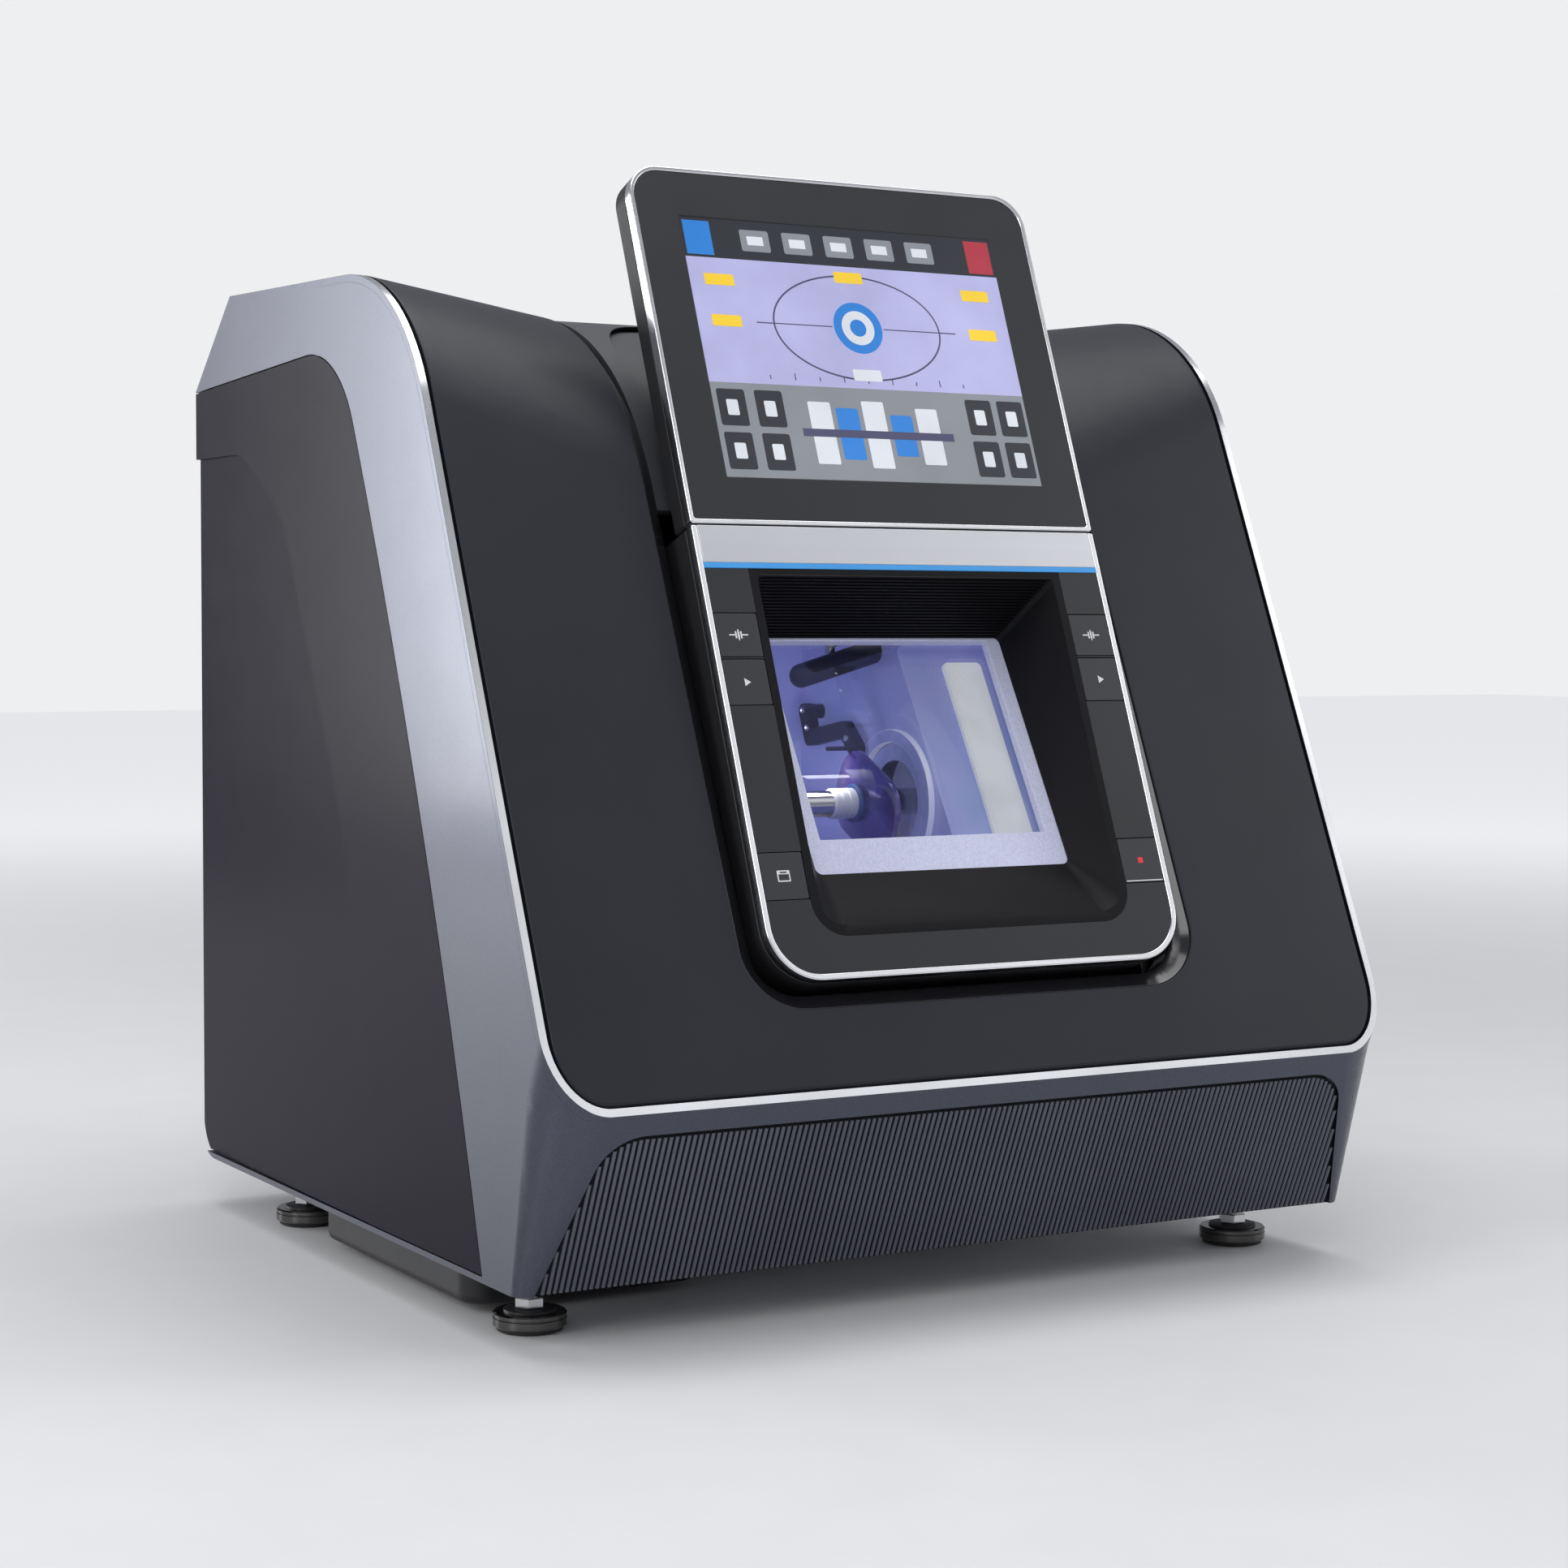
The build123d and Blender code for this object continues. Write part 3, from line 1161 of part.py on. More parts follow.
TRAY_FRONT = DOOR_THICK + 3 * SLIDE_GAP
RAIL_START = DOOR_WIDTH / 2 + SLIDE_GAP
RAIL_TOP = DOOR_HEIGHT + DOOR_TRAVEL + RAIL_END
SLIDE_DEPTH = SLIDE_GAP + DOOR_THICK / 2
SCREW_PLANE = Plane(
    origin=(SCREW_OFFSET, *on_door(0, SLIDE_DEPTH)),
    x_dir=(1, 0, 0),
    z_dir=(0, sin(DOOR_LEAN), cos(DOOR_LEAN)),
)
PANE_MIDDLE = (PANE_FOOT + PANE_TOP) / 2
PANE_HEIGHT = PANE_TOP - PANE_FOOT

with BuildPart() as door_frame:
    with BuildSketch(DOOR_PLANE.offset(-SLIDE_GAP)):
        with Locations((0, DOOR_HEIGHT / 2)):
            Rectangle(DOOR_WIDTH, DOOR_HEIGHT)
        with Locations((0, PANE_MIDDLE)):
            Rectangle(PANE_WIDTH, PANE_HEIGHT, mode=Mode.SUBTRACT)
    extrude(amount=-DOOR_THICK)
    with BuildSketch(DOOR_PLANE.offset(TONGUE_THICK / 2 - SLIDE_DEPTH)):
        for side in (-1, 1):
            with Locations((side * DOOR_WIDTH / 2, DOOR_HEIGHT / 2)):
                Rectangle(2 * TONGUE_WIDTH, DOOR_HEIGHT)
        with Locations((DOOR_WIDTH / 2, DOOR_HEIGHT - NUT_HEIGHT)):
            reach = SCREW_OFFSET - DOOR_WIDTH / 2
            Rectangle(reach, NUT_HEIGHT, align=(Align.MIN, Align.MIN))
        with Locations((0, PANE_MIDDLE)):
            Rectangle(PANE_WIDTH, PANE_HEIGHT, mode=Mode.SUBTRACT)
    extrude(amount=-TONGUE_THICK)
    with BuildSketch(SCREW_PLANE.offset(DOOR_HEIGHT - NUT_HEIGHT)):
        Circle(NUT_R)
    extrude(amount=NUT_HEIGHT)
    with BuildSketch(SCREW_PLANE):
        Circle(SCREW_R + RUNNING_GAP)
    extrude(amount=2 * DOOR_HEIGHT, mode=Mode.SUBTRACT)
save(door_frame, "door_frame")

with BuildPart() as door_pane:
    with BuildSketch(DOOR_PLANE.offset(-SLIDE_GAP - PANE_SINK)):
        with Locations((0, PANE_MIDDLE)):
            Rectangle(PANE_WIDTH, PANE_HEIGHT)
    extrude(amount=-PANE_THICK)
save(door_pane, "door_pane")

# Rails: a slotted bar on each side; the door's tongues run in the slots
with BuildPart() as door_rails:
    with BuildSketch(DOOR_PLANE.offset(-SLIDE_GAP)):
        for side in (-1, 1):
            with Locations((side * (RAIL_START + RAIL_WIDTH / 2), -RAIL_END - SLIDE_GAP)):
                size = (RAIL_WIDTH, RAIL_TOP + RAIL_END + SLIDE_GAP)
                Rectangle(*size, align=(Align.CENTER, Align.MIN))
    extrude(amount=SLIDE_GAP - TRAY_FRONT)
    slot_depth = TONGUE_THICK + 2 * SLIDE_GAP
    with BuildSketch(DOOR_PLANE.offset(slot_depth / 2 - SLIDE_DEPTH)):
        with Locations((0, -SLIDE_GAP)):
            size = (2 * DOOR_WIDTH, RAIL_TOP - RAIL_END + 2 * SLIDE_GAP)
            Rectangle(*size, align=(Align.CENTER, Align.MIN))
    extrude(amount=-slot_depth, mode=Mode.SUBTRACT)
save(door_rails, "door_rails")

with BuildPart() as door_screw:
    with BuildSketch(SCREW_PLANE.offset(-3 * RAIL_END)):
        Circle(SCREW_R)
    extrude(amount=RAIL_TOP + 3 * RAIL_END)
save(door_screw, "door_screw")

with BuildPart() as door_motor:
    with BuildSketch(SCREW_PLANE.offset(-4 * RAIL_END)):
        Circle(SCREW_MOTOR_R)
    extrude(amount=-SCREW_MOTOR_LENGTH)
    with BuildSketch(SCREW_PLANE.offset(-4 * RAIL_END)):
        Circle(SCREW_R + 2 * SLIDE_GAP)
    extrude(amount=RAIL_END / 2)
    with BuildSketch(SCREW_PLANE.offset(-3 * RAIL_END)):
        Circle(SCREW_R + RUNNING_GAP)
    extrude(amount=-2 * RAIL_END, mode=Mode.SUBTRACT)
save(door_motor, "door_motor")

# ---- Working chamber ---------------------------------------------------------------------------

CHAMBER_MIDDLE = (CHAMBER_LEFT + CHAMBER_RIGHT) / 2
CHAMBER_HALF = (CHAMBER_RIGHT - CHAMBER_LEFT) / 2
CAVITY_FOOT = on_door(OPENING_FOOT, TRAY_FRONT)
CAVITY_TOP = on_door(OPENING_TOP, TRAY_FRONT)


def cavity_outline(grow):
    """Side outline of the deep part of the chamber, as Y and Z, grown by a wall."""
    with BuildSketch() as outline:
        with BuildLine():
            Polyline(
                CAVITY_FOOT,
                CAVITY_TOP,
                (CAVITY_TOP[0] + TRAY_DEPTH, CHAMBER_CEILING),
                (CHAMBER_BACK, CHAMBER_CEILING),
                (CHAMBER_BACK, CHAMBER_FLOOR),
                (CHAMBER_BACK - SHELF_DEPTH, CHAMBER_FLOOR),
                close=True,
            )
        make_face()
        if grow:
            offset(amount=grow, kind=Kind.INTERSECTION)
    return outline.sketch


with BuildPart() as chamber_tub:
    with BuildSketch(Plane.YZ.offset(CHAMBER_MIDDLE)):
        add(cavity_outline(TUB_WALL))
    extrude(amount=CHAMBER_HALF + TUB_WALL, both=True)
    with BuildSketch(DOOR_PLANE.offset(-TRAY_FRONT)):
        with Locations((0, DOOR_HEIGHT / 2)):
            Rectangle(DOOR_WIDTH + 2 * TUB_WALL, DOOR_HEIGHT)
    extrude(amount=TRAY_FRONT - TRAY_DEPTH - TUB_WALL)
    with BuildSketch(DOOR_PLANE.offset(-TRAY_FRONT)):
        with Locations((0, DOOR_HEIGHT / 2)):
            Rectangle(2 * BODY_WIDTH, BODY_DEPTH)
    extrude(amount=BODY_DEPTH, mode=Mode.SUBTRACT)
    with BuildSketch(DOOR_PLANE.offset(-TRAY_FRONT)):
        with Locations((0, DOOR_HEIGHT / 2)):
            Rectangle(DOOR_WIDTH, DOOR_HEIGHT - 2 * DOOR_OVERLAP)
    extrude(amount=TRAY_FRONT - TRAY_DEPTH, mode=Mode.SUBTRACT)
    with BuildSketch(Plane.YZ.offset(CHAMBER_MIDDLE)):
        add(cavity_outline(0))
    extrude(amount=CHAMBER_HALF, both=True, mode=Mode.SUBTRACT)
    with BuildSketch(Plane.YZ.offset(CHAMBER_RIGHT)):
        with Locations(LENS_AXIS):
            Circle(RING_R)
            Circle(RING_R - 2 * RING_HEIGHT, mode=Mode.SUBTRACT)
    extrude(amount=-RING_HEIGHT)
    with BuildSketch(Plane.YZ):
        with Locations(LENS_AXIS):
            Circle(PORT_R)
    extrude(amount=BODY_WIDTH, both=True, mode=Mode.SUBTRACT)
    with BuildSketch(Plane.YZ):
        with Locations(WHEEL_AXIS):
            Circle(SPINDLE_R + SLIDE_GAP)
        with Locations(FEELER_AXIS):
            Circle(FEELER_PIN_R + RUNNING_GAP)
    extrude(amount=BODY_WIDTH, mode=Mode.SUBTRACT)
save(chamber_tub, "chamber_tub")

with BuildPart() as chamber_lamp:
    with BuildSketch(DOOR_PLANE.offset(-TRAY_DEPTH)):
        with Locations((LAMP_OFFSET + LAMP_WIDTH / 2, DOOR_HEIGHT / 2)):
            RectangleRounded(LAMP_WIDTH, DOOR_HEIGHT - LAMP_WIDTH, LAMP_THICK)
    extrude(amount=LAMP_THICK)
save(chamber_lamp, "chamber_lamp")

# Spray bar: rises to the right wall; the nozzle hangs from the ceiling behind it
spray_run = CHAMBER_RIGHT - SPRAY_END[0]
spray_plane = Plane(
    origin=SPRAY_END, x_dir=(0, 1, 0), z_dir=(spray_run, 0, SPRAY_RISE)
)
with BuildPart() as spray_bar:
    with BuildSketch(spray_plane):
        Circle(SPRAY_R)
    extrude(amount=2 * spray_run)
    fillet(spray_bar.faces().sort_by(Axis.X)[0].edges(), SPRAY_R - SLIDE_GAP)
    with BuildSketch(Plane.YZ.offset(CHAMBER_RIGHT)):
        Rectangle(2 * BODY_DEPTH, 2 * BODY_DEPTH)
    extrude(amount=BODY_WIDTH, mode=Mode.SUBTRACT)
save(spray_bar, "spray_bar")

with BuildPart() as spray_nozzle:
    with BuildSketch(Plane.XY.offset(CHAMBER_CEILING)):
        with Locations(NOZZLE_SPOT):
            Circle(NOZZLE_R)
    extrude(amount=-NOZZLE_LENGTH)
    with BuildSketch(Plane.XY.offset(CHAMBER_CEILING - NOZZLE_LENGTH)):
        with Locations(NOZZLE_SPOT):
            Circle(3 * NOZZLE_R / 4)
    extrude(amount=-NOZZLE_LENGTH / 3)
    with BuildSketch(Plane.XY.offset(CHAMBER_CEILING - 2 * NOZZLE_LENGTH)):
        with Locations(NOZZLE_SPOT):
            Circle(NOZZLE_R / 3)
    extrude(amount=3 * NOZZLE_LENGTH / 2, mode=Mode.SUBTRACT)
save(spray_nozzle, "spray_nozzle")

# ---- Lens carriage -----------------------------------------------------------------------------


def along_x(outer, inner, start, end, centre):
    """Round bar or tube along X between two places."""
    with BuildPart() as bar:
        with BuildSketch(Plane.YZ.offset(start)):
            with Locations(centre):
                Circle(outer)
                if inner:
                    Circle(inner, mode=Mode.SUBTRACT)
        extrude(amount=end - start)
    return bar.part


with BuildPart() as pivot_shaft:
    add(along_x(PIVOT_R, 0, -UPRIGHT_OUTER, UPRIGHT_OUTER, PIVOT_AXIS))
save(pivot_shaft, "pivot_shaft")

with BuildPart() as carriage_slider:
    half = SLIDER_WIDTH / 2
    add(along_x(SLIDER_R, PIVOT_R + RUNNING_GAP, -half, half, PIVOT_AXIS))
save(carriage_slider, "carriage_slider")

# Yoke: a tube on the slider, an arm on each side, seal discs and a sleeve for the clamp
ARM_INNER = YOKE_REACH - YOKE_ARM_WIDTH
ARM_TIP_R = SLEEVE_R + LAMP_THICK
arm_turn = degrees(atan((PIVOT_AXIS[1] - LENS_AXIS[1]) / (PIVOT_AXIS[0] - LENS_AXIS[0])))
arm_length = sqrt((PIVOT_AXIS[0] - LENS_AXIS[0]) ** 2 + (PIVOT_AXIS[1] - LENS_AXIS[1]) ** 2)
with BuildPart() as carriage_yoke:
    add(along_x(YOKE_TUBE_R, 0, -YOKE_REACH, YOKE_REACH, PIVOT_AXIS))
    for start in (-YOKE_REACH, ARM_INNER):
        with BuildSketch(Plane.YZ.offset(start)):
            with Locations(PIVOT_AXIS):
                Circle(YOKE_TUBE_R)
            with Locations(LENS_AXIS):
                Circle(ARM_TIP_R)
            with Locations(Location((*PIVOT_AXIS, 0), (0, 0, arm_turn))):
                Rectangle(arm_length, 2 * ARM_TIP_R, align=(Align.MAX, Align.CENTER))
        extrude(amount=YOKE_ARM_WIDTH)
    add(along_x(SLEEVE_R, 0, RIGHT_SEAL, ARM_INNER, LENS_AXIS))
    add(along_x(SEAL_R, 0, RIGHT_SEAL, RIGHT_SEAL + SEAL_THICK, LENS_AXIS))
    add(along_x(SEAL_R, 0, -ARM_INNER, SEAL_THICK - ARM_INNER, LENS_AXIS))
    reach = YOKE_REACH
    bore = SLIDER_R + RUNNING_GAP
    add(along_x(bore, 0, -reach, reach, PIVOT_AXIS), mode=Mode.SUBTRACT)
    add(along_x(QUILL_R + RUNNING_GAP, 0, 0, reach, LENS_AXIS), mode=Mode.SUBTRACT)
    bore = LEFT_SHAFT_R + RUNNING_GAP
    add(along_x(bore, 0, -reach, 0, LENS_AXIS), mode=Mode.SUBTRACT)
save(carriage_yoke, "carriage_yoke")

with BuildPart() as clamp_quill:
    inner = RIGHT_SHAFT_R + RUNNING_GAP
    add(along_x(QUILL_R, inner, QUILL_START, QUILL_END, LENS_AXIS))
save(clamp_quill, "clamp_quill")

with BuildPart() as lens_shaft_right:
    add(along_x(CLAMP_PAD_R, 0, CLAMP_PAD_START, CLAMP_PAD_END, LENS_AXIS))
    add(along_x(RIGHT_SHAFT_R, 0, CLAMP_PAD_END, QUILL_END, LENS_AXIS))
    end_edge = lens_shaft_right.edges().filter_by(GeomType.CIRCLE).sort_by(Axis.X)[-1]
    chamfer(end_edge, SHAFT_CHAMFER)
save(lens_shaft_right, "lens_shaft_right")

with BuildPart() as lens_shaft_left:
    add(along_x(LEFT_SHAFT_R, 0, -YOKE_REACH, ADAPTER_LEFT, LENS_AXIS))
save(lens_shaft_left, "lens_shaft_left")

with BuildPart() as lens_adapter:
    add(along_x(ADAPTER_R, 0, ADAPTER_LEFT, LENS_LEFT - SEAL_THICK, LENS_AXIS))
    end_edge = lens_adapter.edges().filter_by(GeomType.CIRCLE).sort_by(Axis.X)[0]
    chamfer(end_edge, SHAFT_CHAMFER)
    add(along_x(PAD_R, 0, LENS_LEFT - SEAL_THICK, LENS_LEFT, LENS_AXIS))
save(lens_adapter, "lens_adapter")

# Shaped lens: a rounded outline cut from a dished blank
with BuildPart() as lens:
    with BuildSketch(Plane.YZ.offset(LENS_LEFT)):
        with Locations(Location((*LENS_AXIS, 0), (0, 0, LENS_TILT))):
            size = (2 * LENS_HALF_LENGTH, 2 * LENS_HALF_HEIGHT)
            RectangleRounded(*size, LENS_CORNER_R)
    extrude(amount=LENS_CURVE_R / 2)
    with Locations((LENS_LEFT + LENS_CURVE_R, *LENS_AXIS)):
        Sphere(LENS_CURVE_R, mode=Mode.INTERSECT)
        Sphere(LENS_CURVE_R - LENS_THICK, mode=Mode.SUBTRACT)
save(lens, "lens")

# Feeler: a cranked arm on a pin through the chamber's right wall, with a fine stylus
with BuildPart() as feeler_arm:
    with BuildSketch(Plane.YZ.offset(FEELER_LEFT)):
        for (y, z), (next_y, next_z) in zip(FEELER_PATH, FEELER_PATH[1:]):
            length = sqrt((next_y - y) ** 2 + (next_z - z) ** 2)
            turn = degrees(atan2(next_z - z, next_y - y))
            with Locations(((y + next_y) / 2, (z + next_z) / 2)):
                SlotCenterToCenter(length, FEELER_WIDTH, rotation=turn)
    extrude(amount=FEELER_THICK)
    pin_end = CHAMBER_RIGHT + 3 * TUB_WALL
    add(along_x(FEELER_PIN_R, 0, FEELER_LEFT, pin_end, FEELER_AXIS))
    stylus_left = FEELER_LEFT - STYLUS_LENGTH
    add(along_x(STYLUS_R, 0, stylus_left, FEELER_LEFT, FEELER_PATH[-1]))
save(feeler_arm, "feeler_arm")

# ---- Wheels and motor --------------------------------------------------------------------------

WHEEL_RIGHT = WHEEL_LEFT + sum(WHEEL_WIDTHS)
with BuildPart() as wheel_spindle:
    add(along_x(SPINDLE_R, 0, WHEEL_LEFT - SPINDLE_R, SPINDLE_END, WHEEL_AXIS))
    with BuildSketch(Plane.YZ.offset(WHEEL_LEFT)):
        with Locations(WHEEL_AXIS):
            RegularPolygon(2 * SPINDLE_R, 6)
    extrude(amount=-SPINDLE_R / 2)
    add(along_x(2 * SPINDLE_R, 0, WHEEL_RIGHT, WHEEL_RIGHT + SEAL_THICK, WHEEL_AXIS))
save(wheel_spindle, "wheel_spindle")

# Wheel set: four widths with a groove between each, and a bevel groove in the third
with BuildPart() as grinding_wheels:
    add(along_x(WHEEL_R, SPINDLE_R, WHEEL_LEFT, WHEEL_RIGHT, WHEEL_AXIS))
    joint_x = WHEEL_LEFT
    for width in WHEEL_WIDTHS[:-1]:
        joint_x += width
        start = joint_x - WHEEL_GROOVE / 2
        groove = (WHEEL_R, WHEEL_R - WHEEL_GROOVE, start, start + WHEEL_GROOVE, WHEEL_AXIS)
        add(along_x(*groove), mode=Mode.SUBTRACT)
    bevel_x = WHEEL_LEFT + WHEEL_WIDTHS[0] + WHEEL_WIDTHS[1] + WHEEL_WIDTHS[2] / 2
    with BuildSketch(Plane.XZ.offset(-WHEEL_AXIS[0])):
        with Locations((bevel_x, WHEEL_AXIS[1] + WHEEL_R)):
            Rectangle(BEVEL_GROOVE, BEVEL_GROOVE, rotation=45)
    revolve(axis=Axis((0, *WHEEL_AXIS), (1, 0, 0)), mode=Mode.SUBTRACT)
save(grinding_wheels, "grinding_wheels")

with BuildPart() as spindle_housing:
    start = CHAMBER_RIGHT + TUB_WALL
    bore = SPINDLE_R + RUNNING_GAP
    add(along_x(BEARING_HOUSING_R, bore, start, UPRIGHT_INNER, WHEEL_AXIS))
    for place in (start + 4 * TUB_WALL, UPRIGHT_INNER - 6 * TUB_WALL):
        ring_r = BEARING_HOUSING_R + TUB_WALL
        ring = (ring_r, BEARING_HOUSING_R, place, place + 2 * TUB_WALL, WHEEL_AXIS)
        add(along_x(*ring))
save(spindle_housing, "spindle_housing")

with BuildPart() as grinding_motor:
    add(along_x(MOTOR_R, 0, UPRIGHT_OUTER, UPRIGHT_OUTER + MOTOR_LENGTH, WHEEL_AXIS))
    for place in range(MOTOR_FINS):
        fin = UPRIGHT_OUTER + (place + 2) * 2 * TUB_WALL
        ring = (MOTOR_R, MOTOR_R - TUB_WALL, fin, fin + TUB_WALL, WHEEL_AXIS)
        add(along_x(*ring), mode=Mode.SUBTRACT)
    bore = SPINDLE_R + RUNNING_GAP
    add(along_x(bore, 0, 0, SPINDLE_END + TUB_WALL, WHEEL_AXIS), mode=Mode.SUBTRACT)
save(grinding_motor, "grinding_motor")

# ---- Rear fittings -----------------------------------------------------------------------------

FAN_REAR = REAR_Y - COVER_WALL
FAN_PLANE = Plane(
    origin=(FAN_CENTRE[0], FAN_REAR, FAN_CENTRE[1]), x_dir=(-1, 0, 0), z_dir=(0, 1, 0)
)
FAN_HOLE_R = FAN_SIZE / 2 - FAN_RIM
with BuildPart() as fan_frame:
    with BuildSketch(FAN_PLANE):
        RectangleRounded(FAN_SIZE, FAN_SIZE, 2 * FAN_RIM)
        Circle(FAN_HOLE_R, mode=Mode.SUBTRACT)
    extrude(amount=-FAN_DEPTH)
    with BuildSketch(FAN_PLANE.offset(-FAN_DEPTH)):
        Circle(FAN_HUB_R)
        for turn in (0, 90):
            Rectangle(FAN_SIZE - FAN_RIM, 2 * FAN_RIM, rotation=turn)
    extrude(amount=FAN_RIM)
    with BuildSketch(FAN_PLANE.offset(-FAN_DEPTH)):
        Circle(FAN_PIN_R)
    extrude(amount=FAN_DEPTH / 2)
save(fan_frame, "fan_frame")

BLADE_CHORD = (FAN_DEPTH - 3 * FAN_RIM) / cos(radians(FAN_BLADE_PITCH)) - FAN_RIM
with BuildPart() as fan_rotor:
    with BuildSketch(FAN_PLANE.offset(-FAN_RIM)):
        Circle(FAN_HUB_R)
    extrude(amount=3 * FAN_RIM - FAN_DEPTH)
    for blade in range(FAN_BLADES):
        turn = 2 * pi * blade / FAN_BLADES
        pitch = radians(FAN_BLADE_PITCH)
        blade_plane = Plane(
            origin=FAN_PLANE.from_local_coords((0, 0, -FAN_DEPTH / 2)),
            x_dir=(-sin(turn) * sin(pitch), cos(pitch), cos(turn) * sin(pitch)),
            z_dir=(cos(turn), 0, sin(turn)),
        )
        with BuildSketch(blade_plane.offset(FAN_HUB_R - FAN_RIM)):
            Rectangle(BLADE_CHORD, FAN_RIM / 2)
        extrude(amount=FAN_HOLE_R - FAN_HUB_R + FAN_RIM - FAN_TIP_GAP)
    with BuildSketch(FAN_PLANE.offset(-FAN_DEPTH)):
        Circle(FAN_PIN_R + RUNNING_GAP)
    extrude(amount=FAN_DEPTH / 2 + RUNNING_GAP, mode=Mode.SUBTRACT)
save(fan_rotor, "fan_rotor")

# Mains inlet: fills its opening, with a flange on the inside and three pins in its socket
with BuildPart() as power_inlet:
    with BuildSketch(REAR_PLANE):
        with Locations((-INLET_CENTRE[0], INLET_CENTRE[1])):
            Rectangle(*INLET_SIZE)
    extrude(amount=-INLET_DEPTH)
    with BuildSketch(REAR_PLANE.offset(-COVER_WALL)):
        with Locations((-INLET_CENTRE[0], INLET_CENTRE[1])):
            Rectangle(INLET_SIZE[0] + 4 * INLET_WALL, INLET_SIZE[1] + 4 * INLET_WALL)
    extrude(amount=-INLET_WALL)
    with BuildSketch(REAR_PLANE):
        with Locations((-INLET_CENTRE[0], INLET_CENTRE[1])):
            Rectangle(INLET_SIZE[0] - 2 * INLET_WALL, INLET_SIZE[1] - 2 * INLET_WALL)
            with GridLocations(INLET_SIZE[0] / 4, 0, 3, 1):
                Rectangle(INLET_WALL / 2, 3 * INLET_WALL, mode=Mode.SUBTRACT)
    extrude(amount=-2 * INLET_DEPTH / 3, mode=Mode.SUBTRACT)
save(power_inlet, "power_inlet")

# Rocker of the mains switch, resting on its off side, with a round inner side on its axis
with BuildSketch() as rocker_side:
    with BuildLine():
        half = SWITCH_SIZE[1] / 2 - ROCKER_GAP
        front = Polyline(
            (0, -half),
            (ROCKER_REACH, -half),
            (ROCKER_REACH - ROCKER_DISH, 0),
            (ROCKER_REACH, half),
            (0, half),
        )
        ThreePointArc(front @ 1, (-half, 0), front @ 0)
    make_face()
with BuildPart() as power_switch:
    with BuildSketch(Plane.YZ.offset(SWITCH_CENTRE[0])):
        with Locations((REAR_Y - ROCKER_REACH - ROCKER_DISH, SWITCH_CENTRE[1])):
            add(rocker_side.sketch, rotation=-SWITCH_ANGLE)
    extrude(amount=SWITCH_SIZE[0] / 2 - SLIDE_GAP, both=True)
save(power_switch, "power_switch")
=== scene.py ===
"""Dresses the table-top lens edger: fine forms, finishes, studio light and camera.

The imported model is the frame. Each class below finishes one sub-assembly: it softens the edges of
the plain solids, builds the small work that they leave out and gives every surface its finish.
Sizes in the classes are in millimetres and become metres in one place, the mesh tools.
"""

import json
import logging
import math
from dataclasses import dataclass, field
from enum import Enum
from typing import Callable, ClassVar, Iterable, Sequence

import bmesh
import bpy
from mathutils import Matrix, Vector

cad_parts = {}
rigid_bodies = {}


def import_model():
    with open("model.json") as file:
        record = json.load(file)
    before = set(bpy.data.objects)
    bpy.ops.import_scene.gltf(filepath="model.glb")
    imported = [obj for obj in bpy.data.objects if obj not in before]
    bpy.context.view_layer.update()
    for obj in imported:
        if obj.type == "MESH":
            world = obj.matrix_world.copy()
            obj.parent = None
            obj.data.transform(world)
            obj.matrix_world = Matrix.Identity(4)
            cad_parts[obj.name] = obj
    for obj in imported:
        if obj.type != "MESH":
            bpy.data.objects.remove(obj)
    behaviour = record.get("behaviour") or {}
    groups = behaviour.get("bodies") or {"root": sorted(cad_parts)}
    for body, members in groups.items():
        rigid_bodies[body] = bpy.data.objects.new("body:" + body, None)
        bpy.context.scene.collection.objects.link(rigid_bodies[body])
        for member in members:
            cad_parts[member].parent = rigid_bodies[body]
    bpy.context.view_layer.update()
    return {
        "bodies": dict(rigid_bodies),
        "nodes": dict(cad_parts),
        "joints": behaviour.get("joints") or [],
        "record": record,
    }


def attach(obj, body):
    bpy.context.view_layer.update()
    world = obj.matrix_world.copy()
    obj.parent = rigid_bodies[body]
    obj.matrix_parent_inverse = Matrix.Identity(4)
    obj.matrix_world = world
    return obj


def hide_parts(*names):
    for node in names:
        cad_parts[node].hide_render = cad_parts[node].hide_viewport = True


LOG = logging.getLogger("edger")
MM = 0.001
COAT_ROUGHNESS = 0.12
PLASTIC_IOR = 1.48
DRIFT_SCALE = 14.0
HANDLING_SCALE = 35.0
MIDDLE_BAND = (0.3, 0.7)
RELIEF_HEIGHT = 0.0002
SAME_SPOT = 2e-6
FLAT_ENOUGH = 0.4
EDGE_CREASE = 34.0
SKIN_CREASE = 38.0
COPY_CREASE = 50.0
HEAD_TAPER = 0.86
ASIDE = 0.3
Colour = tuple[float, float, float]
Point = tuple[float, float, float]
Flat = tuple[float, float]
Share = tuple[float, float, float, float]
Rule = Callable[[Vector, Vector], bool]
Feeds = dict[str | int, object]
Socket = bpy.types.NodeSocket


class NodeBench:
    """Adds nodes to one shader or geometry tree and feeds their inputs."""

    def __init__(self, tree: bpy.types.NodeTree) -> None:
        """Keeps the tree to work on."""
        self.tree = tree

    def add(self, kind: str, inputs: Feeds | None = None, **settings: object) -> bpy.types.Node:
        """Adds a node.

        Args:
            kind: the node's type name.
            inputs: what goes into its inputs.
            settings: properties to set on it.

        Returns:
            The new node.
        """
        node = self.tree.nodes.new(kind)
        for key, value in settings.items():
            setattr(node, key, value)
        self.feed(node, inputs or {})
        return node

    def feed(self, node: bpy.types.Node, inputs: Feeds) -> None:
        """Links the outputs that are given for a node's inputs, and sets the plain values."""
        for key, value in inputs.items():
            if isinstance(value, bpy.types.NodeSocket):
                self.tree.links.new(value, node.inputs[key])
            else:
                node.inputs[key].default_value = value


